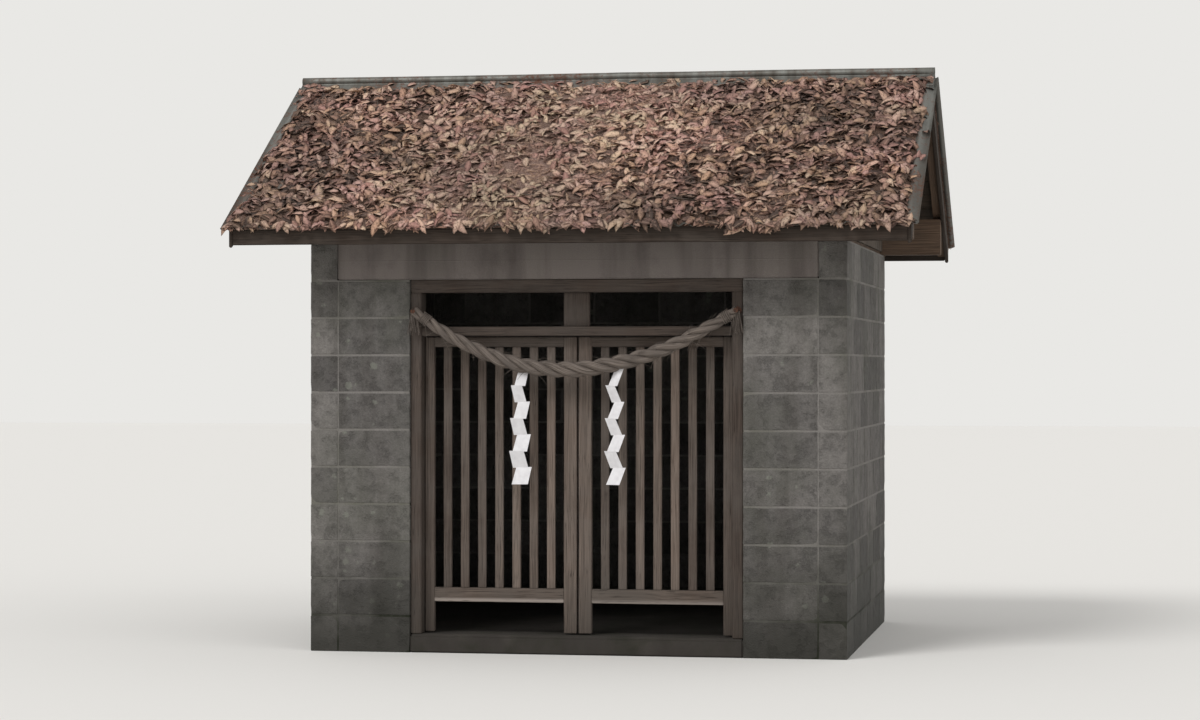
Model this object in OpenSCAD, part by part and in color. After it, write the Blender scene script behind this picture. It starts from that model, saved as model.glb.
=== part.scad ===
// Wayside shrine shelter: a small open-fronted house of concrete blocks with a
// gabled roof, closed by a pair of slatted timber doors behind a straw rope.
// Millimetres, +Z up, front towards -Y, origin on the ground at the plan centre.

/* [Block walls] */
// Overall width of the block walls
wall_w = 2900; // [2500:50:3300]
// Overall depth of the block walls
wall_d = 2400; // [2000:50:2800]
// Thickness of a block wall
wall_t = 150; // [120:10:190]
// Height of one course of blocks with its mortar joint
course_h = 200; // [190:5:210]
// Number of courses from the ground to the wall head
courses = 11; // [10:1:13]
// Width of the block pier on each side of the doorway
pier_w = 400; // [300:50:500]
// Height of the bond beam over the doorway
lintel_h = 200; // [160:10:240]

/* [Floor] */
// Height of the floor and of the threshold above the ground
floor_h = 100; // [80:5:160]
// Fall of the threshold's weathered front edge
threshold_fall = 12; // [4:1:20]

/* [Door frame] */
// Width of a door post across the front
post_w = 60; // [45:5:80]
// Depth of the frame timbers and of the wall plates
timber_d = 105; // [90:5:120]
// How far the timbers stand behind the face of the blocks
setback = 20; // [10:5:30]
// Height of the head rail
head_h = 70; // [50:5:90]
// Height of the transom rail
transom_h = 50; // [40:5:70]
// Clear height of the open transom over the doors
transom_gap_h = 183; // [140:1:230]
// Width of the strut in the middle of the transom
strut_w = 140; // [90:5:180]
// Thickness of the strut in the middle of the transom
strut_t = 36; // [24:2:60]

/* [Doors] */
// Thickness of the door stiles and rails
door_t = 36; // [30:1:45]
// Width of the stile on the hinge side
hinge_stile_w = 50; // [45:1:70]
// Width of the stile at the middle of the doorway
meeting_stile_w = 70; // [50:1:90]
// Height of the top rail
top_rail_h = 53; // [45:1:80]
// Height of the bottom rail
bottom_rail_h = 75; // [60:1:110]
// Clear height left open under the bottom rail, above the threshold
foot_gap = 170; // [60:5:220]
// Number of slats in a door
slats = 7; // [5:1:8]
// Width of a slat
slat_w = 45; // [35:1:50]
// Thickness of a slat
slat_t = 18; // [14:1:24]
// Running gap between a door and its post or the transom rail
door_gap = 5; // [5:0.5:8]
// Gap between the two meeting stiles
meeting_gap = 10; // [8:1:14]
// Gap between the feet of the stiles and the threshold
sill_gap = 8; // [6:1:14]
// Length of the tenons on rails and slats
tenon_l = 24; // [16:1:32]
// Play of a tenon in its mortise, on each side
tenon_play = 0.3; // [0.2:0.1:0.6]

/* [Hinges] */
// Radius of the hinge pin
pin_r = 5; // [4:0.5:6]
// Play between the pin and its eye, on the radius
pin_play = 0.05; // [0.03:0.01:0.08]
// Outer radius of the eye and of the pintle's knuckle
knuckle_r = 9; // [8:0.5:11]
// Distance of the pin's axis behind the back face of the doors
pin_back = 12; // [12:0.5:16]
// Height of an eye
eye_h = 40; // [30:1:50]
// Thickness of the hinge plates
plate_t = 5; // [4:0.5:6]
// Height of the lower hinges above the threshold
low_hinge = 300; // [250:10:400]
// Distance of the upper hinges below the transom rail
high_hinge = 150; // [120:10:250]

/* [Roof frame] */
// Pitch of both roof slopes in degrees
pitch = 30; // [24:1:34]
// Height of the wall plates and gable beams
plate_h = 210; // [150:5:240]
// Depth of the notch where a rafter sits on a wall plate
seat_cut = 25; // [15:1:30]
// Width of a rafter
rafter_w = 45; // [36:1:60]
// Depth of a rafter
rafter_d = 60; // [50:1:75]
// Number of rafter pairs between the two gables
inner_rafters = 5; // [3:1:7]
// Width of the ridge purlin
purlin_w = 105; // [90:5:120]
// Height of the ridge purlin
purlin_h = 120; // [105:5:150]
// Side of the square strut that carries the ridge purlin on a gable
gable_strut_w = 90; // [75:5:105]
// Thickness of the roof boards
board_t = 12; // [9:1:18]
// Thickness of the boards that close a gable
gable_board_t = 15; // [12:1:18]
// Play where one layer of the roof lies on another
bed = 0.2; // [0.1:0.1:0.5]

/* [Roof edges] */
// How far the roof sheets reach beyond the front and back walls
eave_out = 350; // [280:10:450]
// How far the roof sheets reach beyond the side walls
verge_out = 380; // [250:10:450]
// How far the sheets reach beyond the fascia
eave_lip = 30; // [20:5:50]
// How far the sheets reach beyond the bargeboards
verge_lip = 20; // [10:5:30]
// Thickness of fascias and bargeboards
trim_t = 20; // [15:1:25]
// Height of a fascia
fascia_h = 80; // [75:1:110]
// How far a bargeboard hangs below the underside of the rafters
barge_drop = 25; // [10:1:40]

/* [Roof sheets] */
// Thickness of the corrugated sheet
sheet_t = 1.2; // [0.8:0.1:2]
// Height of a corrugation
wave_h = 18; // [12:1:24]
// Number of corrugations across the roof
waves = 48; // [40:1:56]
// Length of a wing of the ridge cap, measured down the slope
cap_wing = 150; // [100:5:220]
// Radius of the roll along the ridge cap
cap_roll_r = 24; // [18:1:30]

/* [Leaf litter] */
// Depth of the bed of fallen leaves over the crests of the sheets
litter_h = 26; // [14:1:34]
// How far the surface of the leaves rises and falls
litter_lump = 5; // [1:0.5:8]
// Depth of the leaves at the rim of the bed
litter_rim_h = 8; // [4:1:14]
// Width of the slope from the rim up to the full depth
litter_slope = 80; // [40:5:140]
// Distance of the leaves from the edges of the sheets and from the ridge cap
litter_back = 15; // [5:5:60]

/* [Rope] */
// Radius of the straw rope at its ends
rope_end_r = 28; // [24:1:34]
// Radius of the straw rope in the middle
rope_mid_r = 44; // [36:1:46]
// Distance of the rope's middle line in front of the door posts
rope_stand = 45; // [40:1:60]
// Radius of the spikes that hold the rope
spike_r = 6; // [4:0.5:8]
// Length of a paper streamer, from the middle of the rope down
streamer_l = 610; // [450:10:650]
// Number of panels that a streamer is folded into
streamer_panels = 7; // [5:1:9]
// Width of a streamer at its top
streamer_top_w = 54; // [46:1:70]
// Width of a streamer at its lower end
streamer_low_w = 86; // [74:1:100]
// How far the folds of a streamer stand to the left and right
streamer_shift = 12; // [6:1:18]
// How far the top of each panel stands out past the panel above it
streamer_step = 18; // [10:1:26]
// How far the folds of a streamer stand to the front and back
streamer_depth = 14; // [6:1:20]
// Thickness of a folded streamer
streamer_t = 1.5; // [1:0.5:3]

/* [Hidden] */

// Smoothness of the round metal pieces
round_fn = 48;
// Faces per corrugation on one side of a sheet
wave_faces = 6;
// Free play under an eye, so that it turns on the knuckle below it
eye_lift = 0.3;

// Walls
half_w = wall_w / 2;
half_d = wall_d / 2;
wall_h = courses * course_h;
inner_w = wall_w - 2 * wall_t;
opening_w = inner_w - 2 * pier_w;
opening_top = wall_h - lintel_h;

// Door frame: heights from the head down, and the two faces of the timbers
frame_front = -half_d + setback;
frame_back = frame_front + timber_d;
head_low = opening_top - head_h;
transom_top = head_low - transom_gap_h;
transom_low = transom_top - transom_h;
clear_w = opening_w - 2 * post_w;

// One door leaf, from its hinge edge at x = leaf_x towards the middle
leaf_w = (clear_w - 2 * door_gap - meeting_gap) / 2;
leaf_x = -clear_w / 2 + door_gap;
leaf_low = floor_h + sill_gap;
leaf_top = transom_low - door_gap;
leaf_front = frame_back - door_t;
rail_x = leaf_x + hinge_stile_w;
rail_w = leaf_w - hinge_stile_w - meeting_stile_w;
bottom_rail_low = floor_h + foot_gap;
bottom_rail_top = bottom_rail_low + bottom_rail_h;
top_rail_low = leaf_top - top_rail_h;
slat_gap = (rail_w - slats * slat_w) / (slats + 1);
tenon_t = door_t / 3;

// Hinges
pin_x = -clear_w / 2 + door_gap / 2;
pin_y = frame_back + pin_back;
hinge_z = [floor_h + low_hinge, transom_low - high_hinge];

// Roof: heights of the rafters' underside, their top, the boards' underside and top and
// the crests of the sheets, at a distance y from the ridge line
plate_top = wall_h + plate_h;
plate_out = half_d - setback;
gable_face = half_w - setback;
function under(y) = plate_top - seat_cut + (plate_out - abs(y)) * tan(pitch);
function over(y) = under(y) + rafter_d / cos(pitch);
function deck_low(y) = over(y) + bed;
function deck(y) = deck_low(y) + board_t / cos(pitch);
function crest(y) = deck(y) + bed + (wave_h + sheet_t) / cos(pitch);
roof_half_w = half_w + verge_out;
barge_out = roof_half_w - verge_lip;
barge_in = barge_out - trim_t;
eave_edge = half_d + eave_out;
fascia_out = eave_edge - eave_lip;
fascia_in = fascia_out - trim_t;
gable_rafter_x = gable_face - rafter_w / 2;
end_rafter_x = barge_in - rafter_w / 2;
rafter_gap = 2 * gable_rafter_x / (inner_rafters + 1);
rafter_x = concat(
    [-end_rafter_x, end_rafter_x],
    [for (i = [0 : inner_rafters + 1]) -gable_rafter_x + i * rafter_gap]
);

// Sheets: length down the slope from the ridge line to the eave, and one corrugation
sheet_l = eave_edge / cos(pitch);
wave_w = 2 * roof_half_w / waves;
wave_step = wave_w / wave_faces;
function wave_z(i) = wave_h / 2 * (1 - cos(360 * i / wave_faces));

// Leaf litter: half its width across the roof, where it starts below the ridge, its length,
// and the distance down from its start of step j
litter_steps = 9;
litter_turn = 155;
litter_half_w = roof_half_w - litter_back;
litter_start = cap_wing + litter_back;
litter_l = sheet_l - litter_back - litter_start;
function litter_at(j) =
    j == 0 ? 0
    : j == litter_steps ? litter_l
    : litter_slope + (litter_l - 2 * litter_slope) * (j - 1) / (litter_steps - 2);

// Rope: points along its middle line from spike to spike, as [x, z]
rope_y = frame_front - rope_stand;
rope_route = [
    [-870, 1830], [-760, 1755], [-650, 1685], [-540, 1630], [-430, 1585], [-320, 1550],
    [-210, 1530], [-100, 1520], [0, 1520], [110, 1530], [220, 1550], [330, 1575],
    [440, 1610], [550, 1655], [660, 1710], [770, 1770], [870, 1830]
];
rope_sides = 12;
spike_x = (opening_w - post_w) / 2;
spike_z = 1830;
streamer_top = 1520;
left_streamer_x = -290;
right_streamer_x = 220;
streamer_tuck = 2;
left_streamer_turn = 14;
right_streamer_turn = -26;

concrete = [0.45, 0.43, 0.40];
old_wood = [0.36, 0.32, 0.29];
dark_wood = [0.28, 0.25, 0.23];
galvanised = [0.50, 0.50, 0.48];
dry_leaf = [0.47, 0.38, 0.32];
iron = [0.25, 0.22, 0.20];
straw = [0.62, 0.56, 0.44];
paper = [0.90, 0.89, 0.88];

// A box from its low corner to its high corner
module span_box(low, high) {
    translate(low) cube(high - low);
}

// A section in the plane across the ridge, as [y, z], extruded from x0 to x1
module across(x0, x1) {
    translate([x0, 0, 0]) rotate([90, 0, 90]) linear_extrude(x1 - x0) children();
}

// The same piece on the right-hand side
module right_hand() {
    mirror([1, 0, 0]) children();
}

// The same piece on the back slope
module back_hand() {
    mirror([0, 1, 0]) children();
}

/* Floor and walls */

module floor_slab() {
    color(concrete)
        span_box([-inner_w / 2, -half_d + wall_t, 0], [inner_w / 2, half_d - wall_t, floor_h]);
}

// The threshold fills the wall under the doorway; its front edge sheds water
module threshold() {
    color(concrete) across(-opening_w / 2, opening_w / 2) polygon([
        [-half_d, 0], [-half_d + wall_t, 0], [-half_d + wall_t, floor_h],
        [frame_front, floor_h], [-half_d, floor_h - threshold_fall]
    ]);
}

module side_wall() {
    color(concrete) span_box([-half_w, -half_d, 0], [-inner_w / 2, half_d, wall_h]);
}

module left_side_wall() {
    side_wall();
}

module right_side_wall() {
    right_hand() side_wall();
}

module back_wall() {
    color(concrete)
        span_box([-inner_w / 2, half_d - wall_t, 0], [inner_w / 2, half_d, wall_h]);
}

module front_pier() {
    color(concrete)
        span_box([-inner_w / 2, -half_d, 0], [-opening_w / 2, -half_d + wall_t, opening_top]);
}

module left_front_pier() {
    front_pier();
}

module right_front_pier() {
    right_hand() front_pier();
}

module front_lintel() {
    color(concrete)
        span_box([-inner_w / 2, -half_d, opening_top], [inner_w / 2, -half_d + wall_t, wall_h]);
}

/* Door frame */

module post() {
    color(dark_wood)
        span_box([-opening_w / 2, frame_front, floor_h], [-clear_w / 2, frame_back, head_low]);
}

module left_post() {
    post();
}

module right_post() {
    right_hand() post();
}

module head_rail() {
    color(dark_wood)
        span_box([-opening_w / 2, frame_front, head_low], [opening_w / 2, frame_back, opening_top]);
}

module transom_rail() {
    color(dark_wood)
        span_box([-clear_w / 2, frame_front, transom_low], [clear_w / 2, frame_back, transom_top]);
}

module transom_strut() {
    color(old_wood)
        translate([0, (frame_front + frame_back) / 2, 0])
            span_box([-strut_w / 2, -strut_t / 2, transom_top], [strut_w / 2, strut_t / 2, head_low]);
}

/* Doors, drawn for the left-hand leaf */

// The tongue of a rail, which runs into the stile on each side
module rail_tenons(low, high, play) {
    middle = (low + high) / 2;
    half = (high - low) / 3;
    translate([0, leaf_front + door_t / 2, 0])
        span_box(
            [rail_x - tenon_l - play, -tenon_t / 2 - play, middle - half - play],
            [rail_x + rail_w + tenon_l + play, tenon_t / 2 + play, middle + half + play]
        );
}

// The tongues of all slats, which run into both rails
module slat_tenons(play) {
    for (i = [0 : slats - 1])
        translate([rail_x + slat_gap + i * (slat_w + slat_gap), leaf_front + door_t / 2, 0])
            span_box(
                [slat_w / 6 - play, -tenon_t / 2 - play, bottom_rail_top - tenon_l - play],
                [slat_w * 5 / 6 + play, tenon_t / 2 + play, top_rail_low + tenon_l + play]
            );
}

module stile(x, width) {
    color(old_wood) difference() {
        span_box([x, leaf_front, leaf_low], [x + width, frame_back, leaf_top]);
        rail_tenons(bottom_rail_low, bottom_rail_top, tenon_play);
        rail_tenons(top_rail_low, leaf_top, tenon_play);
    }
}

module hinge_stile() {
    stile(leaf_x, hinge_stile_w);
}

module meeting_stile() {
    stile(rail_x + rail_w, meeting_stile_w);
}

module rail(low, high) {
    difference() {
        union() {
            span_box([rail_x, leaf_front, low], [rail_x + rail_w, frame_back, high]);
            rail_tenons(low, high, 0);
        }
        slat_tenons(tenon_play);
    }
}

module rails() {
    color(old_wood) {
        rail(bottom_rail_low, bottom_rail_top);
        rail(top_rail_low, leaf_top);
    }
}

module door_slats() {
    color(old_wood) union() {
        for (i = [0 : slats - 1])
            translate([rail_x + slat_gap + i * (slat_w + slat_gap), leaf_front + door_t / 2, 0])
                span_box([0, -slat_t / 2, bottom_rail_top], [slat_w, slat_t / 2, top_rail_low]);
        slat_tenons(0);
    }
}

module left_door_hinge_stile() {
    hinge_stile();
}

module left_door_meeting_stile() {
    meeting_stile();
}

module left_door_rails() {
    rails();
}

module left_door_slats() {
    door_slats();
}

module left_door_hinges() {
    hinge_eyes();
}

module right_door_hinge_stile() {
    right_hand() hinge_stile();
}

module right_door_meeting_stile() {
    right_hand() meeting_stile();
}

module right_door_rails() {
    right_hand() rails();
}

module right_door_slats() {
    right_hand() door_slats();
}

module right_door_hinges() {
    right_hand() hinge_eyes();
}

/* Hinges: an eye on the back of the stile turns on a pintle on the back of the post */

module hinge_eyes() {
    color(iron) for (z = hinge_z) translate([pin_x, pin_y, z]) difference() {
        union() {
            translate([0, 0, -eye_h / 2]) cylinder(h = eye_h, r = knuckle_r, $fn = round_fn);
            span_box(
                [0, -pin_back, -eye_h / 2],
                [door_gap / 2 + hinge_stile_w * 0.8, plate_t - pin_back, eye_h / 2]
            );
        }
        translate([0, 0, -eye_h]) cylinder(h = 2 * eye_h, r = pin_r + pin_play, $fn = round_fn);
    }
}

module pintles() {
    for (z = hinge_z) translate([pin_x, pin_y, z - eye_h / 2 - eye_lift]) {
        translate([0, 0, -eye_h / 2]) cylinder(h = eye_h / 2, r = knuckle_r, $fn = round_fn);
        cylinder(h = eye_h + 2 * pin_r, r = pin_r, $fn = round_fn);
        span_box(
            [-door_gap / 2 - post_w * 0.8, -pin_back, -eye_h / 2],
            [0, plate_t - pin_back, 0]
        );
        span_box(
            [-door_gap / 2 - post_w * 0.8, -pin_back, -eye_h / 2],
            [-knuckle_r - door_gap / 2, plate_t - pin_back, eye_h]
        );
    }
}

module hinge_pintles() {
    color(iron) {
        pintles();
        right_hand() pintles();
    }
}

/* Roof frame */

// The wall plates lie on the wall heads and run out to the verges
module wall_plate() {
    color(old_wood)
        span_box([-barge_in, frame_front, wall_h], [barge_in, frame_back, plate_top]);
}

module front_wall_plate() {
    wall_plate();
}

module back_wall_plate() {
    back_hand() wall_plate();
}

module ridge_purlin() {
    color(old_wood)
        span_box([-barge_in, -purlin_w / 2, under(0) - purlin_h], [barge_in, purlin_w / 2, under(0)]);
}

module gable_beam() {
    span_box([-gable_face, frame_back, wall_h], [-gable_face + timber_d, -frame_back, plate_top]);
}

module gable_beams() {
    color(old_wood) {
        gable_beam();
        right_hand() gable_beam();
    }
}

module gable_strut() {
    span_box(
        [-gable_face, -gable_strut_w / 2, plate_top],
        [-gable_face + gable_strut_w, gable_strut_w / 2, under(0) - purlin_h - bed]
    );
}

module gable_struts() {
    color(old_wood) {
        gable_strut();
        right_hand() gable_strut();
    }
}

// The boards close the gable up to the roof boards and are cut round plates and purlin
module gable_boards() {
    color(dark_wood) across(-gable_face - gable_board_t, -gable_face) difference() {
        polygon([
            [-plate_out, wall_h + setback], [plate_out, wall_h + setback],
            [plate_out, over(plate_out)], [0, over(0)], [-plate_out, over(plate_out)]
        ]);
        for (side = [-1, 1])
            translate([side * (frame_front + frame_back) / 2, plate_top / 2])
                square([timber_d, plate_top], center = true);
        translate([-purlin_w / 2, under(0) - purlin_h]) square([purlin_w, purlin_h]);
    }
}

module left_gable_boards() {
    gable_boards();
}

module right_gable_boards() {
    right_hand() gable_boards();
}

// A rafter of the front slope: a plumb cut at the ridge, a seat on the purlin and a
// notch over the wall plate
module rafter() {
    polygon([
        [0, under(0)], [-purlin_w / 2, under(0)], [-purlin_w / 2, under(purlin_w / 2)],
        [-plate_out + seat_cut / tan(pitch), plate_top], [-plate_out, plate_top],
        [-plate_out, under(plate_out)], [-fascia_in, under(fascia_in)],
        [-fascia_in, over(fascia_in)], [0, over(0)]
    ]);
}

module rafters() {
    color(old_wood) for (x = rafter_x) across(x - rafter_w / 2, x + rafter_w / 2) rafter();
}

module front_rafters() {
    rafters();
}

module back_rafters() {
    back_hand() rafters();
}

module roof_boards() {
    color(dark_wood) across(-barge_in, barge_in) polygon([
        [0, deck_low(0)], [-fascia_out, deck_low(fascia_out)],
        [-fascia_out, deck(fascia_out)], [0, deck(0)]
    ]);
}

module front_roof_boards() {
    roof_boards();
}

module back_roof_boards() {
    back_hand() roof_boards();
}

/* Roof edges */

// A bargeboard follows the front slope on each verge and is cut plumb at the ridge
module bargeboard() {
    across(-barge_out, -barge_in) polygon([
        [-fascia_out, under(fascia_out) - barge_drop], [-fascia_out, deck(fascia_out)],
        [0, deck(0)], [0, under(0) - barge_drop]
    ]);
}

module bargeboards() {
    color(dark_wood) {
        bargeboard();
        right_hand() bargeboard();
    }
}

module front_bargeboards() {
    bargeboards();
}

module back_bargeboards() {
    back_hand() bargeboards();
}

module fascia() {
    across(-barge_in, barge_in) polygon([
        [-fascia_out, over(fascia_out)], [-fascia_out, over(fascia_out) - fascia_h],
        [-fascia_in, over(fascia_out) - fascia_h], [-fascia_in, over(fascia_in)]
    ]);
}

module eave_fascias() {
    color(dark_wood) {
        fascia();
        back_hand() fascia();
    }
}

/* Roof sheets */

// A corrugated sheet of the front slope, from the ridge line down to the eave
module roof_sheet() {
    steps = waves * wave_faces;
    color(galvanised) translate([0, 0, deck(0) + bed]) rotate([pitch, 0, 0]) rotate([90, 0, 0])
        translate([0, 0, sheet_t + wave_h * tan(pitch)])
            linear_extrude(sheet_l - sheet_t - wave_h * tan(pitch)) polygon(concat(
                [for (i = [0 : steps]) [-roof_half_w + i * wave_step, wave_z(i)]],
                [for (i = [steps : -1 : 0]) [-roof_half_w + i * wave_step, wave_z(i) + sheet_t]]
            ));
}

// Depth of the bed of leaves at step j down the slope
function litter_depth(j) =
    j == 0 || j == litter_steps ? litter_rim_h : litter_h + litter_lump * sin(litter_turn * j);

// The leaves rest on the crests of the sheets, from the ridge cap down to the eave
module leaf_litter() {
    low = wave_h + sheet_t + bed;
    color(dry_leaf) translate([0, 0, deck(0) + bed]) rotate([pitch, 0, 0])
        across(-litter_half_w, litter_half_w) polygon(concat(
            [[-litter_start, low]],
            [for (j = [0 : litter_steps])
                [-litter_start - litter_at(j), low + litter_depth(j)]],
            [[-litter_start - litter_l, low]]
        ));
}

module front_roof_sheet() {
    roof_sheet();
    leaf_litter();
}

module back_roof_sheet() {
    back_hand() {
        roof_sheet();
        leaf_litter();
    }
}

// The cap rides on the crests of both sheets, with a roll along its top
module ridge_cap() {
    wing_y = cap_wing * cos(pitch);
    low = crest(wing_y) + bed;
    top = crest(0) + bed;
    skin = sheet_t / cos(pitch);
    color(galvanised) across(-roof_half_w, roof_half_w) union() {
        polygon([
            [-wing_y, low], [0, top], [wing_y, low],
            [wing_y, low + skin], [0, top + skin], [-wing_y, low + skin]
        ]);
        translate([0, top + skin + cap_roll_r / 2]) circle(r = cap_roll_r, $fn = round_fn);
    }
}

/* Straw rope and paper streamers */

// A spike with a round head and a back plate on the front of each post
module rope_spike() {
    reach = rope_stand + rope_end_r;
    translate([-spike_x, frame_front, spike_z]) rotate([90, 0, 0]) {
        cylinder(h = reach + spike_r, r = spike_r, $fn = round_fn);
        cylinder(h = spike_r, r = 3.5 * spike_r, $fn = round_fn);
        translate([0, 0, reach + spike_r]) cylinder(h = spike_r / 2, r = 2 * spike_r, $fn = round_fn);
    }
}

module rope_spikes() {
    color(iron) {
        rope_spike();
        right_hand() rope_spike();
    }
}

// The rope swells from its ends to its middle
function rope_r(i) =
    rope_end_r + (rope_mid_r - rope_end_r) * sin(180 * i / (len(rope_route) - 1));

// Slope of the middle line at point i, from its two neighbours
function rope_slope(i) =
    let (
        a = rope_route[max(i - 1, 0)],
        b = rope_route[min(i + 1, len(rope_route) - 1)]
    ) atan2(b[1] - a[1], b[0] - a[0]);

// One ring of the rope, square to the middle line
function rope_ring(i) = [
    for (s = [0 : rope_sides - 1])
        let (
            turn = 360 * s / rope_sides,
            up = rope_r(i) * cos(turn),
            slope = rope_slope(i)
        )
        [
            rope_route[i][0] - up * sin(slope),
            rope_y + rope_r(i) * sin(turn),
            rope_route[i][1] + up * cos(slope)
        ]
];

module straw_rope() {
    rings = len(rope_route);
    points = [for (i = [0 : rings - 1]) each rope_ring(i)];
    skin = [
        for (i = [0 : rings - 2], s = [0 : rope_sides - 1])
            let (
                a = i * rope_sides + s,
                b = i * rope_sides + (s + 1) % rope_sides
            )
            [a, b, b + rope_sides, a + rope_sides]
    ];
    near_end = [for (s = [rope_sides - 1 : -1 : 0]) s];
    far_end = [for (s = [0 : rope_sides - 1]) (rings - 1) * rope_sides + s];
    color(straw) polyhedron(points = points, faces = concat(skin, [near_end, far_end]));
}

// The four corners of a panel's end at fold i, side 1 or -1, seen from above. Each end runs on
// a little, up or down, into the panel that it is folded from.
function streamer_end(i, side, shift, run_on) =
    let (
        half = (streamer_top_w + (streamer_low_w - streamer_top_w) * i / streamer_panels) / 2,
        x = side * shift,
        y = side * streamer_depth,
        z = run_on - i * streamer_l / streamer_panels
    )
    [
        [x - half, y, z], [x - half, y + streamer_t, z],
        [x + half, y + streamer_t, z], [x + half, y, z]
    ];

// A panel leans from one side at its top to the other side at its foot
module streamer_panel(i) {
    side = i % 2 == 0 ? 1 : -1;
    points = concat(
        streamer_end(i, side, streamer_shift + streamer_step / 2, streamer_tuck),
        streamer_end(i + 1, -side, streamer_shift - streamer_step / 2, -streamer_tuck)
    );
    sides = [for (s = [0 : 3]) [s, s + 4, (s + 1) % 4 + 4, (s + 1) % 4]];
    polyhedron(points = points, faces = concat(sides, [[0, 1, 2, 3], [7, 6, 5, 4]]));
}

// A paper strip, slit and folded to and fro, which hangs from the rope
module streamer() {
    color(paper) for (i = [0 : streamer_panels - 1]) streamer_panel(i);
}

module left_streamer() {
    translate([left_streamer_x, rope_y, streamer_top]) rotate([0, 0, left_streamer_turn]) streamer();
}

module right_streamer() {
    translate([right_streamer_x, rope_y, streamer_top]) rotate([0, 0, right_streamer_turn]) streamer();
}

floor_slab();
threshold();
left_side_wall();
right_side_wall();
back_wall();
left_front_pier();
right_front_pier();
front_lintel();
left_post();
right_post();
head_rail();
transom_rail();
transom_strut();
front_wall_plate();
back_wall_plate();
ridge_purlin();
gable_beams();
gable_struts();
left_gable_boards();
right_gable_boards();
front_rafters();
back_rafters();
front_roof_boards();
back_roof_boards();
front_bargeboards();
back_bargeboards();
eave_fascias();
front_roof_sheet();
back_roof_sheet();
ridge_cap();
hinge_pintles();
rope_spikes();
straw_rope();
left_streamer();
right_streamer();
left_door_hinge_stile();
left_door_meeting_stile();
left_door_rails();
left_door_slats();
left_door_hinges();
right_door_hinge_stile();
right_door_meeting_stile();
right_door_rails();
right_door_slats();
right_door_hinges();
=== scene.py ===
import math
import random

import bmesh
import bpy
import numpy as np
from mathutils import Matrix, Vector, noise


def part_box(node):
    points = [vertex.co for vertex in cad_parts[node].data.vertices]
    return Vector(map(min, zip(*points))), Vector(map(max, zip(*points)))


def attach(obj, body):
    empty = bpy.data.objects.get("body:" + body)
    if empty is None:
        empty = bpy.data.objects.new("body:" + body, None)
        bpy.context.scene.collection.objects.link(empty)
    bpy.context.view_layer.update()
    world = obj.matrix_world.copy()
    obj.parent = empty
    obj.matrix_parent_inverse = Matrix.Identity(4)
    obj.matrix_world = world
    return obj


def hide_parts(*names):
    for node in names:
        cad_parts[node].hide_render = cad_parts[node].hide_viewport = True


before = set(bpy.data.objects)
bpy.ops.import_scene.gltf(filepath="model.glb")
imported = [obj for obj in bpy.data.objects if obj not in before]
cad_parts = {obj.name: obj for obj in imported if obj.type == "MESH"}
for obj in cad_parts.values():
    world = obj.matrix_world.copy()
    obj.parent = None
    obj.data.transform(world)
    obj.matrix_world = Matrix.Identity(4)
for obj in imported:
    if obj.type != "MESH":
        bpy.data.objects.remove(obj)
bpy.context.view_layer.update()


# Camera
# The photograph's standing point: at eye height, 17 m in front of the shelter's middle and 3 m to
# the right of it. It is turned to the shelter, and its long lens lets the shelter fill the frame.
def put(name, data):
    """A new object at the origin, linked to the scene."""
    made = bpy.data.objects.new(name, data)
    bpy.context.collection.objects.link(made)
    return made


eye = Vector((2.93, -16.87, 1.54))
aim = Vector((0.03, -0.6, 1.57))
camera = put("camera", bpy.data.cameras.new("camera"))
camera.data.lens = 90
camera.location = eye
camera.rotation_euler = (aim - eye).to_track_quat("-Z", "Y").to_euler()
bpy.context.scene.camera = camera
bpy.context.scene.view_settings.view_transform = "Standard"


# Straw rope
# Three strands of rice straw laid left-handed, thick in the middle and thin at both ends. It is
# tied to a spike on each door post and sags freely between them.
rope_y = -1.225
rope_route = [(x / 1000, rope_y, z / 1000) for x, z in [
    (-870, 1830), (-760, 1755), (-650, 1685), (-540, 1630), (-430, 1585), (-320, 1550),
    (-210, 1530), (-100, 1520), (0, 1520), (110, 1530), (220, 1550), (330, 1575),
    (440, 1610), (550, 1655), (660, 1710), (770, 1770), (870, 1830)]]
rope_end_r, rope_mid_r = 0.028, 0.044
strand_count, strand_share, strand_turn = 3, 0.48, 0.30
strand_sides, ring_step = 14, 0.010


def smooth_line(points, step):
    """Points every step metres along a smooth curve through the given points, and their distances."""
    points = [Vector(p) for p in points]
    padded = [2 * points[0] - points[1]] + points + [2 * points[-1] - points[-2]]
    pieces, fine = 40, []
    for a, b, c, d in zip(padded, padded[1:], padded[2:], padded[3:]):
        for k in range(pieces):
            t = k / pieces
            fine.append(0.5 * (2 * b + (c - a) * t + (2 * a - 5 * b + 4 * c - d) * t * t
                               + (3 * b - a - 3 * c + d) * t ** 3))
    fine.append(points[-1])
    run = np.concatenate([[0], np.cumsum([(q - p).length for p, q in zip(fine, fine[1:])])])
    at = np.linspace(0, run[-1], round(run[-1] / step) + 1)
    flat = np.array([tuple(p) for p in fine])
    return np.stack([np.interp(at, run, flat[:, k]) for k in range(3)], axis=1), at


def colour(value):
    """The linear colour of an sRGB hex value. A colour that comes from a node stays as it is."""
    if not isinstance(value, str):
        return value
    parts = [int(value[i:i + 2], 16) / 255 for i in (1, 3, 5)]
    return tuple(c / 12.92 if c <= 0.04045 else ((c + 0.055) / 1.055) ** 2.4 for c in parts) + (1.0,)


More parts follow.
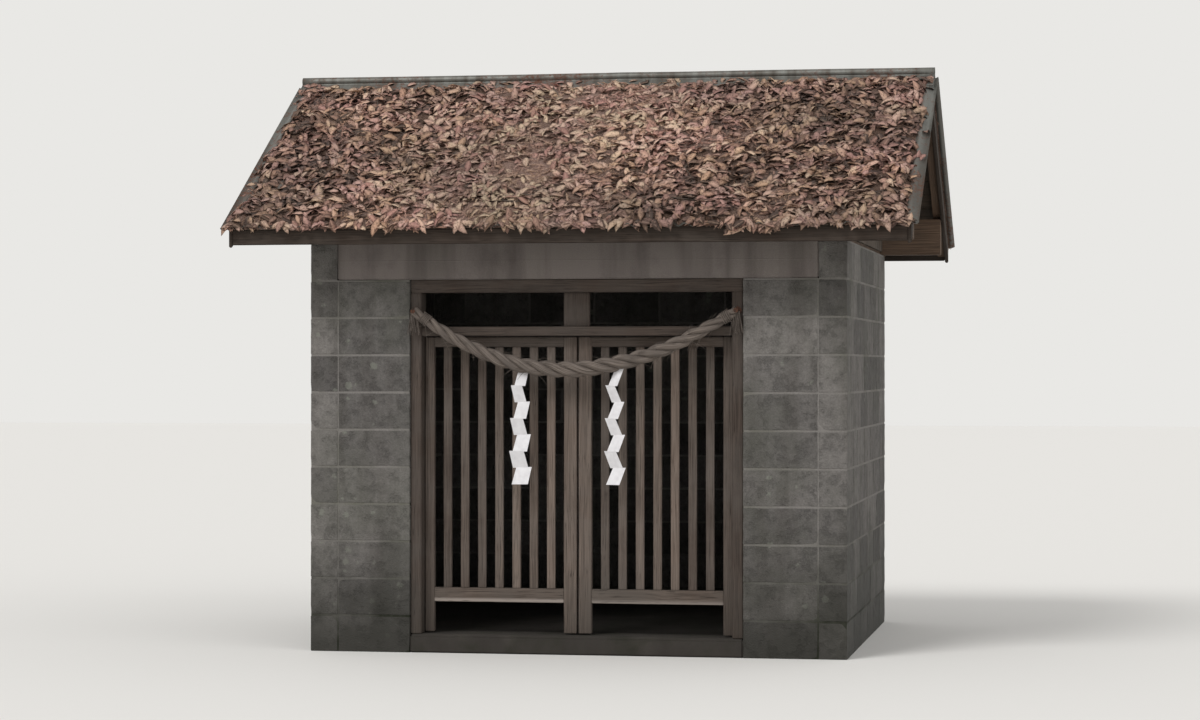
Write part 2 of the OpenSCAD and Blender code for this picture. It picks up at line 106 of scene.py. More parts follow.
def add(tree, kind, inputs=(), out=0, **settings):
    """Adds a shader node, or one whose kind is written in full, and gives one of its outputs, or
    the node itself for None. Inputs are a list in their order or go by name or number. A socket is
    linked to its input, and any other value is set there."""
    made = tree.nodes.new(kind if "Node" in kind else "ShaderNode" + kind)
    for key, value in settings.items():
        setattr(made, key, value)
    for key, value in inputs.items() if isinstance(inputs, dict) else enumerate(inputs):
        if isinstance(value, bpy.types.NodeSocket):
            tree.links.new(value, made.inputs[key])
        else:
            made.inputs[key].default_value = value
    return made if out is None or not made.outputs else made.outputs[out]


def new_material(name):
    """An empty material and its node tree."""
    made = bpy.data.materials.new(name)
    made.use_nodes = True
    made.node_tree.nodes.clear()
    return made, made.node_tree


def coated(tree, base, *coats):
    """A colour under others: each coat is its mask from 0 to 1, its colour and, where that is less
    than all, the share that it covers at most."""
    for mask, over, *most in coats:
        if most:
            mask = add(tree, "Math", [mask, *most], operation="MULTIPLY")
        base = add(tree, "Mix", {0: mask, 6: colour(base), 7: colour(over)}, 2, data_type="RGBA")
    return base


def finish(tree, base, rough, relief=None, specular=0.5, metal=0.0):
    """Ends a material. Its relief is a height pattern, a strength and a depth in metres."""
    shader = add(tree, "BsdfPrincipled", {"Base Color": base, "Roughness": rough, "Metallic": metal,
                                          "Specular IOR Level": specular}, None)
    if relief:
        normal = add(tree, "Bump", {"Height": relief[0], "Strength": relief[1], "Distance": relief[2]})
        tree.links.new(normal, shader.inputs["Normal"])
    add(tree, "OutputMaterial", [shader.outputs[0]])


# Rice straw, dry and weathered to a brownish grey: matt stalks about 3 mm thick run along each strand,
# some darker and some split, with dirt in the grooves.
rice_straw, tree = new_material("weathered_rice_straw")
grain = add(tree, "Attribute", out="Vector", attribute_name="grain")
stalks = add(tree, "VectorMath", [grain, (6.0, 260.0, 40.0)], operation="MULTIPLY")
stalk = add(tree, "TexNoise", {"Vector": stalks, "Scale": 1.0, "Detail": 3.0})
patch = add(tree, "TexNoise", {"Vector": grain, "Scale": 9.0, "Detail": 4.0})
tone = add(tree, "MapRange", [stalk, 0.32, 0.68])
worn = add(tree, "MapRange", [patch, 0.42, 0.7, 0.0, 0.75])
straw = coated(tree, "#473e38", (tone, "#8a7f76"), (worn, "#57504b"))
finish(tree, straw, 0.85, (stalk, 0.9, 0.004), specular=0.25)


def mark(mesh, key, values):
    """Gives the points of a mesh an attribute, with one number or three for each point."""
    values = np.asarray(values, np.float32)
    kind, part = ("FLOAT_VECTOR", "vector") if values.ndim == 2 else ("FLOAT", "value")
    mesh.attributes.new(key, kind, "POINT").data.foreach_set(part, values.ravel())


def new_piece(name, points, faces, material, **attributes):
    """A mesh piece at the origin, with its material and point attributes."""
    mesh = bpy.data.meshes.new(name)
    mesh.from_pydata([tuple(p) for p in points], [], [tuple(f) for f in faces])
    for key, values in attributes.items():
        mark(mesh, key, values)
    mesh.materials.append(material)
    return put(name, mesh)


def tube(line, radius, sides, lane=0.0):
    """Points, faces and grain of a closed tube along a line, with one radius for each ring."""
    line = np.asarray(line, float)
    along = np.gradient(line, axis=0)
    along /= np.linalg.norm(along, axis=1)[:, None]
    side = np.cross(along, (0, 1, 0))
    side /= np.linalg.norm(side, axis=1)[:, None]
    up = np.cross(side, along)
    turn = np.arange(sides) * 2 * math.pi / sides
    ring = np.cos(turn)[None, :, None] * side[:, None, :] + np.sin(turn)[None, :, None] * up[:, None, :]
    points = (line[:, None, :] + ring * np.asarray(radius)[:, None, None]).reshape(-1, 3)
    run = np.concatenate([[0], np.cumsum(np.linalg.norm(np.diff(line, axis=0), axis=1))])
    round_it = np.tile(turn, len(line)) * 0.02
    grain = np.stack([np.repeat(run, sides), round_it, np.full(len(points), lane)], axis=1)
    last = (len(line) - 1) * sides
    faces = []
    for i in range(0, last, sides):
        for s in range(sides):
            after = (s + 1) % sides
            faces.append((i + s, i + after, i + sides + after, i + sides + s))
    faces += [tuple(range(sides))[::-1], tuple(range(last, last + sides))]
    return points, faces, grain


def gather(shapes):
    """Several (points, faces, grain) shapes as one."""
    points, faces, grain, base = [], [], [], 0
    for p, f, g in shapes:
        points.append(p)
        grain.append(g)
        faces += [tuple(base + i for i in face) for face in f]
        base += len(p)
    return np.concatenate(points), faces, np.concatenate(grain)


def outward(piece):
    """Turns all faces of a closed piece outwards."""
    shape = bmesh.new()
    shape.from_mesh(piece.data)
    bmesh.ops.recalc_face_normals(shape, faces=shape.faces)
    shape.to_mesh(piece.data)
    shape.free()


def bundle(name, tubes, material):
    """Many tubes as one piece."""
    points, faces, grain = gather(tubes)
    made = new_piece(name, points, faces, material, grain=grain)
    outward(made)
    return made


def shade_smooth(piece, angle):
    """Smooth shading, apart from edges sharper than an angle in degrees."""
    piece.data.shade_smooth()
    piece.data.set_sharp_from_angle(angle=math.radians(angle))


rope_line, rope_at = smooth_line(rope_route, ring_step)
rope_length = float(rope_at[-1])
rope_r = rope_end_r + (rope_mid_r - rope_end_r) * np.sin(math.pi * rope_at / rope_length)
rope_along = np.gradient(rope_line, axis=0)
rope_along /= np.linalg.norm(rope_along, axis=1)[:, None]
rope_side = np.cross(rope_along, (0, 1, 0))


def around(side, turn):
    """The way out of the rope's middle line at one angle round it, or at several."""
    turn = np.asarray(turn)[..., None]
    return np.cos(turn) * side + np.sin(turn) * np.array((0.0, 1.0, 0.0))


strands = []
for lane in range(strand_count):
    turn = -2 * math.pi * rope_at / strand_turn + lane * 2 * math.pi / strand_count
    centre = rope_line + around(rope_side, turn) * (rope_r * (1 - strand_share))[:, None]
    lumps = np.array([1 + 0.06 * noise.noise((a * 14, lane * 7.0, 0.5)) for a in rope_at])
    strands.append(tube(centre, rope_r * strand_share * lumps, strand_sides, lane * 0.4))
straw_rope = bundle("straw_rope_strands", strands, rice_straw)
shade_smooth(straw_rope, 80)

# Loose stalks that have worked out of the strands and stand off the rope
stalk_count, stalk_root_r, stalk_tip_r = 150, 0.0013, 0.0005
pick = random.Random(4)
steps = np.linspace(0, 1, 5)
stalks_out = []
for k in range(stalk_count):
    i = pick.randrange(6, len(rope_line) - 6)
    out = around(rope_side[i], pick.uniform(0, 2 * math.pi))
    way = rope_along[i] * pick.choice((-1, 1)) * pick.uniform(0.5, 1.0) + out * pick.uniform(0.25, 0.7)
    way /= np.linalg.norm(way)
    long = pick.uniform(0.03, 0.085)
    line = rope_line[i] + out * rope_r[i] * 0.8 + way * long * steps[:, None]
    line += np.array((0, 0, -0.25 * long)) * (steps ** 2)[:, None]
    stalks_out.append(tube(line, np.linspace(stalk_root_r, stalk_tip_r, len(steps)), 4, k * 0.13))
loose_stalks = bundle("loose_straw_stalks", stalks_out, rice_straw)

# The ties: twine wound round the rope beside each spike, and the stalks' ends that hang below it
twine_turns, twine_r, twine_rings, twine_pitch = 5, 0.004, 25, 0.008
end_count, end_root_r, end_tip_r = 46, 0.0020, 0.0011
ties = []
for end, inward in ((0, 1), (len(rope_line) - 1, -1)):
    for w in range(twine_turns):
        i = end + inward * (5 + w)
        loop = rope_line[i] + around(rope_side[i], np.linspace(0, 2 * math.pi, twine_rings)) * rope_r[i]
        loop += rope_along[i] * np.linspace(0, twine_pitch, twine_rings)[:, None]
        ties.append(tube(loop, np.full(twine_rings, twine_r), 6, w * 0.3))
    for k in range(end_count):
        lean = pick.uniform(-0.22, 0.22), pick.uniform(-0.15, 0.1)
        long = pick.uniform(0.075, 0.125)
        start = rope_line[end] + np.array((pick.uniform(-0.018, 0.018), pick.uniform(-0.016, 0.016), -0.006))
        line = start + np.stack([lean[0] * steps, lean[1] * steps, -steps], axis=1) * long
        ties.append(tube(line, np.linspace(end_root_r, end_tip_r, len(steps)), 4, k * 0.17))
rope_ties = bundle("straw_rope_ties", ties, rice_straw)

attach(straw_rope, "shelter")
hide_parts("straw_rope")
for piece in (loose_stalks, rope_ties):
    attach(piece, "shelter")


# Paper streamers
# Each is a strip of stiff white paper, folded to and fro, so that its panels lean left and right
# by turns and widen downwards. It is tucked between the strands of the rope.
def refinish(node, material):
    """Gives a CAD node a material in place of its plain one."""
    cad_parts[node].data.materials.clear()
    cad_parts[node].data.materials.append(material)


# White mulberry paper: matt, a little cloudy from its fibres and greyed by rain in places
washi, tree = new_material("white_mulberry_paper")
where = add(tree, "TexCoord", out="Object")
cloud = add(tree, "TexNoise", {"Vector": where, "Scale": 35.0, "Detail": 5.0})
fibre = add(tree, "TexNoise", {"Vector": where, "Scale": 420.0, "Detail": 2.0})
finish(tree, coated(tree, "#c9c6c8", (cloud, "#eeedee")), 0.8, (fibre, 0.25, 0.0006), specular=0.3)
for node in ("left_streamer", "right_streamer"):
    refinish(node, washi)


# Stage
# A plain floor, an even pale sky and two large soft lamps, which light each colour about as it is
# written. The floor is matt and pale, and shows the shelter's shadow.
floor_half = 60
plain, tree = new_material("plain_pale_floor")
finish(tree, colour("#e4e2de"), 0.9, specular=0.1)
corners = [(-floor_half, -floor_half, 0), (floor_half, -floor_half, 0),
           (floor_half, floor_half, 0), (-floor_half, floor_half, 0)]
floor = new_piece("stage_floor", corners, [(0, 1, 2, 3)], plain)
world = bpy.data.worlds.new("even_pale_sky")
bpy.context.scene.world = world
world.use_nodes = True
tree = world.node_tree
tree.nodes.clear()
rays = add(tree, "LightPath", out=None).outputs
seen = add(tree, "Math", [rays["Is Camera Ray"], rays["Is Glossy Ray"]], operation="MAXIMUM")
seen = add(tree, "Math", [seen, rays["Is Transmission Ray"]], operation="MAXIMUM")
light = add(tree, "Background", [colour("#ffffff"), 0.62])
backdrop = add(tree, "Background", [colour("#e9e8e5"), 1.0])
add(tree, "OutputWorld", [add(tree, "MixShader", [seen, light, backdrop])])
for name, energy, angle, tilt, turn in (("soft_key", 1.5, 24, 46, -32), ("soft_fill", 0.5, 60, 62, 48)):
    lamp = put(name, bpy.data.lights.new(name, "SUN"))
    lamp.data.energy = energy
    lamp.data.angle = math.radians(angle)
    lamp.rotation_euler = (math.radians(tilt), 0, math.radians(turn))


# Block walls
# Hollow concrete blocks, 390 x 190 mm and as thick as the wall, laid half over half in mortar with
# 10 mm joints. The mortar stands 3 mm behind the faces of the blocks, whose edges have chipped.
block_long, block_high, wall_thick, joint, course = 0.390, 0.190, 0.150, 0.010, 0.200
mortar_depth, mortar_top_gap, shortest_block = 0.003, 0.002, 0.060


def damp_foot(tree, where):
    """How damp masonry is: 1 at its foot, and 0 above a wavering line about 700 mm up."""
    height = add(tree, "SeparateXYZ", [where], "Z")
    wobble = add(tree, "TexNoise", {"Vector": where, "Scale": 3.2, "Detail": 5.0, "Roughness": 0.62})
    rise = add(tree, "Math", [wobble, -0.9, height], operation="MULTIPLY_ADD")
    return add(tree, "MapRange", [rise, -0.35, 0.25, 1.0, 0.0])


def algae_film(tree, where):
    """Ragged patches of algae, up to 600 mm across, from 0 to 1."""
    green = add(tree, "TexNoise", {"Vector": where, "Scale": 1.7, "Detail": 8.0, "Roughness": 0.7})
    return add(tree, "MapRange", [green, 0.44, 0.72])


def rain_streaks(tree, where):
    """Upright streaks of dirt about 100 mm wide, from 0 to 1."""
    stretched = add(tree, "VectorMath", [where, (9.0, 9.0, 0.8)], operation="MULTIPLY")
    run = add(tree, "TexNoise", {"Vector": stretched, "Scale": 1.0, "Detail": 6.0})
    return add(tree, "MapRange", [run, 0.45, 0.75])


# Pressed concrete block: open, sandy faces of 3 to 5 mm grit with pits up to 15 mm, matt. Each block
# has its own grey and its clouds of cement, rain has left streaks, algae a green film and lichen pale
# spots 10 to 40 mm across, and the foot is dark with damp.
block_concrete, tree = new_material("pressed_concrete_block")
where = add(tree, "TexCoord", out="Object")
own = add(tree, "Attribute", out="Fac", attribute_name="tone")
damp = damp_foot(tree, where)
grit = add(tree, "TexVoronoi", {"Vector": where, "Scale": 190.0}, "Distance")
sand = add(tree, "TexNoise", {"Vector": where, "Scale": 90.0, "Detail": 6.0, "Roughness": 0.7})
mottle = add(tree, "TexNoise", {"Vector": where, "Scale": 17.0, "Detail": 7.0, "Roughness": 0.68})
speck = add(tree, "Math", [sand, mottle], operation="ADD")
speck = add(tree, "MapRange", [speck, 0.78, 1.22, 0.68, 1.22])
speck = add(tree, "CombineColor", [speck] * 3)
grey = coated(tree, "#53504e", (own, "#787470"))
grey = add(tree, "Mix", {0: 1.0, 6: grey, 7: speck}, 2, data_type="RGBA", blend_type="MULTIPLY")
bend = add(tree, "TexNoise", {"Vector": where, "Scale": 45.0, "Detail": 5.0, "Roughness": 0.7}, "Color")
bend = add(tree, "VectorMath", {0: bend, "Scale": 0.045}, operation="SCALE")
bent = add(tree, "VectorMath", [where, bend], operation="ADD")
spot = add(tree, "TexVoronoi", {"Vector": bent, "Scale": 14.0}, None)
size = add(tree, "SeparateColor", [spot.outputs["Color"]])
group = add(tree, "TexNoise", {"Vector": where, "Scale": 3.6, "Detail": 2.0})
size = add(tree, "Math", [group, 2.6, size], operation="MULTIPLY_ADD")
size = add(tree, "MapRange", [size, 1.95, 2.5, 0.0, 0.34])
lichen = add(tree, "Math", [size, spot.outputs["Distance"]], operation="SUBTRACT")
lichen = add(tree, "MapRange", [lichen, 0.0, 0.10, 0.0, 0.42])
grey = coated(tree, grey, (rain_streaks(tree, where), "#3d3834", 0.55),
              (algae_film(tree, where), "#4a4b42", 0.6), (lichen, "#85877c"), (damp, "#25241e", 0.85))
rough = add(tree, "MapRange", [damp, 0.0, 1.0, 0.92, 0.68])
pitted = add(tree, "MapRange", [mottle, 0.34, 0.46, -1.6, 0.0])
height = add(tree, "Math", [grit, sand], operation="ADD")
height = add(tree, "Math", [height, pitted], operation="ADD")
finish(tree, grey, rough, (height, 0.8, 0.0028), specular=0.3)

# Lime and cement mortar, sandy and a little paler than the blocks, with moss low down
mortar, tree = new_material("sandy_mortar")
where = add(tree, "TexCoord", out="Object")
sand = add(tree, "TexNoise", {"Vector": where, "Scale": 160.0, "Detail": 5.0})
bed = coated(tree, "#66625f", (sand, "#87837f"), (algae_film(tree, where), "#4a4c3c", 0.75),
             (damp_foot(tree, where), "#23251c"))
finish(tree, bed, 0.93, (sand, 0.6, 0.002), specular=0.2)


def as_mesh(name, shape):
    """A mesh made from an editable shape, which is freed."""
    mesh = bpy.data.meshes.new(name)
    shape.to_mesh(mesh)
    shape.free()
    return mesh


def cut(shape, at, way, **how):
    """Cuts an editable shape along a plane through a point, and gives what Blender found there."""
    return bmesh.ops.bisect_plane(shape, geom=shape.verts[:] + shape.edges[:] + shape.faces[:],
                                  plane_co=at, plane_no=way, **how)


def soften(shape, edge, **how):
    """Rounds the sharp edges of an editable shape."""
    sharp = [e for e in shape.edges if len(e.link_faces) == 2 and e.calc_face_angle(0) > 0.5]
    bmesh.ops.bevel(shape, geom=sharp, offset=edge, segments=2, affect="EDGES", **how)


# Without this, the noise that shapes worn edges would differ from run to run
noise.seed_set(1)


def worn_block(size, edge, chip):
    """A box with rounded, chipped edges and cross lines on its faces."""
    shape = bmesh.new()
    bmesh.ops.create_cube(shape, size=1.0, matrix=Matrix.Diagonal((*size, 1)))
    for axis, count in ((0, 7), (1, 3), (2, 4)):
        way = Matrix.Identity(3)[axis].copy()
        for line in range(1, count):
            cut(shape, way * size[axis] * (line / count - 0.5), way)
    soften(shape, edge, profile=0.6)
    for v in shape.verts:
        near = sum(abs(abs(v.co[k]) - size[k] / 2) < edge * 1.2 for k in range(3))
        off = noise.noise_vector(v.co * 23 + Vector((9.3, 23.1, 0)))
        deep = chip * (0.15, 0.15, 1.0, 2.4 * max(0.0, off[0] + off[1]))[near]
        for k in range(3):
            v.co[k] -= math.copysign(abs(off[k]) * deep, v.co[k])
    return put("worn_block", as_mesh("worn_block", shape))


def new_tree(name, inputs):
    """A Geometry Nodes tree with named inputs, and the sockets that give them."""
    made = bpy.data.node_groups.new(name, "GeometryNodeTree")
    for label, kind, value in inputs:
        socket = made.interface.new_socket(label, in_out="INPUT", socket_type="NodeSocket" + kind)
        if value is not None:
            socket.default_value = value
    made.interface.new_socket("Geometry", in_out="OUTPUT", socket_type="NodeSocketGeometry")
    return made, made.nodes.new("NodeGroupInput").outputs


def end_tree(tree, laid, material, tone=None):
    """Ends a node tree: gives each copy its tone, makes the copies real and gives them the material."""
    if tone is not None:
        laid = add(tree, "GeometryNodeStoreNamedAttribute", {"Geometry": laid, "Name": "tone", "Value": tone},
                   data_type="FLOAT", domain="INSTANCE")
    laid = add(tree, "GeometryNodeRealizeInstances", [laid])
    laid = add(tree, "GeometryNodeSetMaterial", {"Geometry": laid, "Material": material})
    add(tree, "NodeGroupOutput", {"Geometry": laid})


def grown(name, tree, base, values):
    """What a node tree makes of a base mesh, as a plain mesh piece at the origin."""
    made = put(name, base)
    grow = made.modifiers.new("grow", "NODES")
    grow.node_group = tree
    for socket in tree.interface.items_tree:
        if socket.item_type == "SOCKET" and socket.in_out == "INPUT" and socket.name in values:
            grow[socket.identifier] = values[socket.name]
    made.update_tag()
    view = bpy.context.evaluated_depsgraph_get()
    plain_mesh = bpy.data.meshes.new_from_object(made.evaluated_get(view), depsgraph=view)
    made.modifiers.clear()
    made.data = plain_mesh
    return made


# This node tree lays a copy of the original at every point of its base, with the point's size and
# turn, and gives each copy a tone of its own.
laying, given = new_tree("lay_copies", [
    ("Places", "Geometry", None), ("Original", "Object", None),
    ("Material", "Material", None), ("Seed", "Int", 1)])
copy_size = add(laying, "GeometryNodeInputNamedAttribute", {"Name": "size"}, data_type="FLOAT_VECTOR")
copy_turn = add(laying, "GeometryNodeInputNamedAttribute", {"Name": "turn"}, data_type="FLOAT_VECTOR")
original = add(laying, "GeometryNodeObjectInfo", {"Object": given["Original"]}, "Geometry")
laid = add(laying, "GeometryNodeInstanceOnPoints", {
    "Points": given["Places"], "Instance": original, "Rotation": copy_turn, "Scale": copy_size})
chance = add(laying, "FunctionNodeRandomValue", {"Seed": given["Seed"]}, 1, data_type="FLOAT")
end_tree(laying, laid, given["Material"], chance)


def places(points, sizes=None, turns=None):
    """A base mesh of bare points, with the size and turn of the copy at each of them."""
    mesh = bpy.data.meshes.new("places")
    mesh.from_pydata([tuple(p) for p in points], [], [])
    mark(mesh, "size", [(1, 1, 1)] * len(points) if sizes is None else sizes)
    mark(mesh, "turn", [(0, 0, 0)] * len(points) if turns is None else turns)
    return mesh


def wall_places(low, high, run, start_joint, end_joint):
    """Centres and lengths of a wall's blocks, laid half over half along axis run."""
    centres, lengths = [], []
    for level in range(round((high.z - low.z) / course)):
        cuts = [low[run]]
        step = course if level % 2 and high[run] - low[run] > 1.1 * 2 * course else 2 * course
        while cuts[-1] + step < high[run] - shortest_block:
            cuts.append(cuts[-1] + step)
            step = 2 * course
        cuts.append(high[run])
        for i, (a, b) in enumerate(zip(cuts, cuts[1:])):
            a += start_joint if i == 0 else joint / 2
            b -= end_joint if i == len(cuts) - 2 else joint / 2
            centre = (low + high) / 2
            centre[run] = (a + b) / 2
            centre.z = low.z + level * course + block_high / 2
            centres.append(centre)
            lengths.append(b - a)
    return centres, lengths


box_faces = [(0, 1, 3, 2), (4, 6, 7, 5), (0, 4, 5, 1), (2, 3, 7, 6), (0, 2, 6, 4), (1, 5, 7, 3)]
worn = worn_block((block_long, wall_thick, block_high), edge=0.0035, chip=0.0040)
for node, run, start_joint, end_joint, seed in (
        ("left_side_wall", 1, 0, 0, 11), ("right_side_wall", 1, 0, 0, 12),
        ("back_wall", 0, joint / 2, joint / 2, 13),
        ("left_front_pier", 0, joint / 2, 0, 18), ("right_front_pier", 0, 0, joint / 2, 15)):
    low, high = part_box(node)
    centres, lengths = wall_places(low, high, run, start_joint, end_joint)
    sizes = [(long / block_long, 1, 1) for long in lengths]
    pick = random.Random(seed)
    along = math.pi / 2 if run else 0
    turns = [(math.pi * pick.randrange(2), 0, math.pi * pick.randrange(2) + along) for _ in centres]
    blocks = grown(node + "_blocks", laying, places(centres, sizes, turns),
                   {"Original": worn, "Material": block_concrete, "Seed": seed})
    # Where the wall meets the next one in a joint, the mortar runs on into that wall
    a = low + Vector((-mortar_depth if start_joint else mortar_depth, mortar_depth, 0))
    b = high - Vector((-mortar_depth if end_joint else mortar_depth, mortar_depth, mortar_top_gap))
    corners = [(x, y, z) for x in (a.x, b.x) for y in (a.y, b.y) for z in (a.z, b.z)]
    bed = new_piece(node + "_mortar", corners, box_faces, mortar)
    for piece in (blocks, bed):
        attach(piece, "shelter")
        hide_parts(node)
bpy.data.objects.remove(worn)


# Floor, threshold and lintel
# Concrete cast on the spot and then worn: the slab fills the room between the walls, the threshold
# under the doors has a top that sheds water, and the lintel spans the opening from wall to wall.

# Cast concrete: fine sand and clouds of cement skin, browner than the blocks, with rain streaks and
# moss low down, and lines 100 mm apart where the boards of its mould met. It is painted lighter
# higher up, as painted light that makes up for the eave's shadow on the lintel
cast_concrete, tree = new_material("cast_concrete")
where = add(tree, "TexCoord", out="Object")
height = add(tree, "SeparateXYZ", [where], "Z")
cloud = add(tree, "TexNoise", {"Vector": where, "Scale": 4.0, "Detail": 8.0, "Roughness": 0.65})
sand = add(tree, "TexNoise", {"Vector": where, "Scale": 230.0, "Detail": 5.0, "Roughness": 0.7})
low_down = add(tree, "MapRange", [height, 0.1, 1.2, 0.85, 0.2])
moss = add(tree, "MapRange", [cloud, 0.46, 0.6, 0.0, low_down])
# Painted light: the concrete is painted lighter from 0.5 m up to 1.9 m, so that the lintel under the eave
# looks lit
painted_light_higher_up = add(tree, "MapRange", [height, 0.5, 1.9])
pale = coated(tree, "#69625c", (painted_light_higher_up, "#8b827d"))
deep = coated(tree, "#45403c", (painted_light_higher_up, "#645d59"))
lumps = add(tree, "Math", [sand, cloud], operation="ADD")
skin = add(tree, "MapRange", [lumps, 0.75, 1.25])
slab_grey = coated(tree, deep, (skin, pale), (rain_streaks(tree, where), "#3e3734", 0.6), (moss, "#333627"),
                   (damp_foot(tree, where), "#25221e", 0.75))
board = add(tree, "Math", [height, 0.05], operation="PINGPONG")
board = add(tree, "MapRange", [board, 0.0, 0.004, 1.0, 0.0])
lumps = add(tree, "Math", [board, 0.7, lumps], operation="MULTIPLY_ADD")
finish(tree, slab_grey, 0.88, (lumps, 0.5, 0.002), specular=0.3)


def whole_faces(shape):
    """Joins the flat faces of an editable shape."""
    bmesh.ops.dissolve_limit(shape, angle_limit=0.01, verts=shape.verts, edges=shape.edges)


def node_shape(node):
    """A CAD solid as a clean, editable shape with whole faces."""
    shape = bmesh.new()
    shape.from_mesh(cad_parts[node].data)
    bmesh.ops.remove_doubles(shape, verts=shape.verts, dist=2e-5)
    whole_faces(shape)
    return shape


def box_shape(low, high):
    """A box between two corners."""
    shape = bmesh.new()
    middle, size = (Vector(low) + Vector(high)) / 2, Vector(high) - Vector(low)
    bmesh.ops.create_cube(shape, size=1.0, matrix=Matrix.Translation(middle) @ Matrix.Diagonal((*size, 1)))
    return shape


def part_numbers(shape):
    """For each point of an editable shape, the number of the solid that it belongs to."""
    shape.verts.index_update()
    part = [-1] * len(shape.verts)
    parts = 0
    for v in shape.verts:
        if part[v.index] < 0:
            part[v.index], heap = parts, [v]
            while heap:
                for e in heap.pop().link_edges:
                    for w in e.verts:
                        if part[w.index] < 0:
                            part[w.index] = parts
                            heap.append(w)
            parts += 1
    return part, parts


def wear(name, shape, along, material, edge=0.003, warp=0.0015, step=0.15, seed=0):
    """A piece made of one or more straight solids, with rounded edges, a slight warp, grain
    coordinates along the given way and a tone for each solid."""
    along = Vector(along).normalized()
    across = along.cross(Vector((0, 0, 1)) if abs(along.z) < 0.8 else Vector((0, 1, 0))).normalized()
    over = along.cross(across)
    soften(shape, edge, clamp_overlap=True)
    reach = [v.co.dot(along) for v in shape.verts]
    at = min(reach) + step
    while at < max(reach) - step / 3:
        cut(shape, along * at, along)
        at += step
    part, parts = part_numbers(shape)
    pick = random.Random(seed)
    tones = [pick.random() for _ in range(parts)]
    grain, tone = [], []
    lowest = min(v.co.z for v in shape.verts)
    for v in shape.verts:
        grain.append((v.co.dot(along), v.co.dot(across), v.co.dot(over)))
        tone.append(tones[part[v.index]])
        drift = noise.noise_vector(v.co * 2.3 + Vector((seed, 5.0 * tone[-1], 0)))
        chip = noise.noise_vector(v.co * 31)
        v.co += (across * (drift[0] + 0.3 * chip[0]) + over * (drift[1] + 0.3 * chip[1])) * warp
        v.co.z = max(v.co.z, lowest)
    mesh = as_mesh(name, shape)
    mark(mesh, "grain", grain)
    mark(mesh, "tone", tone)
    mesh.materials.append(material)
    return put(name, mesh)


for node, edge in (("floor_slab", 0.004), ("threshold", 0.008), ("front_lintel", 0.006)):
    piece = wear(node + "_cast", node_shape(node), (1, 0, 0), cast_concrete, edge, step=0.1, seed=5)
    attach(piece, "shelter")
    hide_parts(node)


# Door frame
# Squared softwood posts, head rail and transom rail, nailed between the piers, with a board as a
# strut in the middle of the open transom. All have gone grey-brown and stand on a damp threshold.
def softwood(name, dark, light, grey, weathered, spread=0.26):
    """Sawn softwood, matt: growth lines 3 to 6 mm apart run along each piece, with fine dark checks,
    a grey skin where rain reaches it, and feet dark with damp. A pale painted highlight lies where a
    piece is marked for one. The tones of single pieces differ by the spread."""
    made, tree = new_material(name)
    where = add(tree, "TexCoord", out="Object")
    own = add(tree, "Attribute", out="Fac", attribute_name="tone")
    run = add(tree, "Attribute", out="Vector", attribute_name="grain")
    shift = add(tree, "VectorMath", {0: (3.1, 7.7, 5.3), "Scale": own}, operation="SCALE")
    run = add(tree, "VectorMath", [run, shift], operation="ADD")
    bend = add(tree, "TexNoise", {"Vector": run, "Scale": 1.6, "Detail": 2.0}, "Color")
    bend = add(tree, "VectorMath", {0: bend, "Scale": 0.035}, operation="SCALE")
    bent = add(tree, "VectorMath", [run, bend], operation="ADD")
    lines = add(tree, "VectorMath", [bent, (2.2, 190.0, 190.0)], operation="MULTIPLY")
    line = add(tree, "TexNoise", {"Vector": lines, "Scale": 1.0, "Detail": 4.0, "Roughness": 0.6})
    tone = add(tree, "MapRange", [line, 0.3, 0.7])
    checks = add(tree, "VectorMath", [bent, (4.0, 420.0, 420.0)], operation="MULTIPLY")
    check = add(tree, "TexNoise", {"Vector": checks, "Scale": 1.0, "Detail": 1.0})
    check = add(tree, "MapRange", [check, 0.66, 0.73])
    patch = add(tree, "TexNoise", {"Vector": where, "Scale": 2.6, "Detail": 6.0, "Roughness": 0.65})
    skin = add(tree, "MapRange", [patch, 0.38, 0.66, 0.0, weathered])
    height = add(tree, "SeparateXYZ", [where], "Z")
    rise = add(tree, "Math", [patch, -0.8, height], operation="MULTIPLY_ADD")
    damp = add(tree, "MapRange", [rise, -0.3, 0.1, 0.35, 0.0])
    # Painted highlight: a pale band where a piece carries one
    painted_highlight = add(tree, "Attribute", out="Fac", attribute_name="painted_highlight")
    painted_highlight = add(tree, "MapRange", [painted_highlight, 0.0, 0.5, 0.0, 0.75])
    each = add(tree, "MapRange", [own, 0.0, 1.0, 1 - spread, 1 + spread])
    each = add(tree, "CombineColor", [each] * 3)
    wood = coated(tree, dark, (tone, light))
    wood = add(tree, "Mix", {0: 1.0, 6: wood, 7: each}, 2, data_type="RGBA", blend_type="MULTIPLY")
    wood = coated(tree, wood, (skin, grey), (damp, "#26231c"), (painted_highlight, "#9b9189"), (check, "#17130f", 0.8))
    deep = add(tree, "Math", [line, check], operation="SUBTRACT")
    finish(tree, wood, 0.84, (deep, 0.6, 0.0015), specular=0.25)
    return made


frame_wood = softwood("old_softwood_frame", "#312924", "#574b43", "#544e49", 0.6)
for node, along, seed in (("left_post", (0, 0, 1), 9), ("right_post", (0, 0, 1), 3),
                          ("head_rail", (1, 0, 0), 11), ("transom_rail", (1, 0, 0), 12),
                          ("transom_strut", (0, 0, 1), 13)):
    piece = wear(node + "_wood", node_shape(node), along, frame_wood, edge=0.004, warp=0.0018, seed=seed)
    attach(piece, "shelter")
    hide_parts(node)


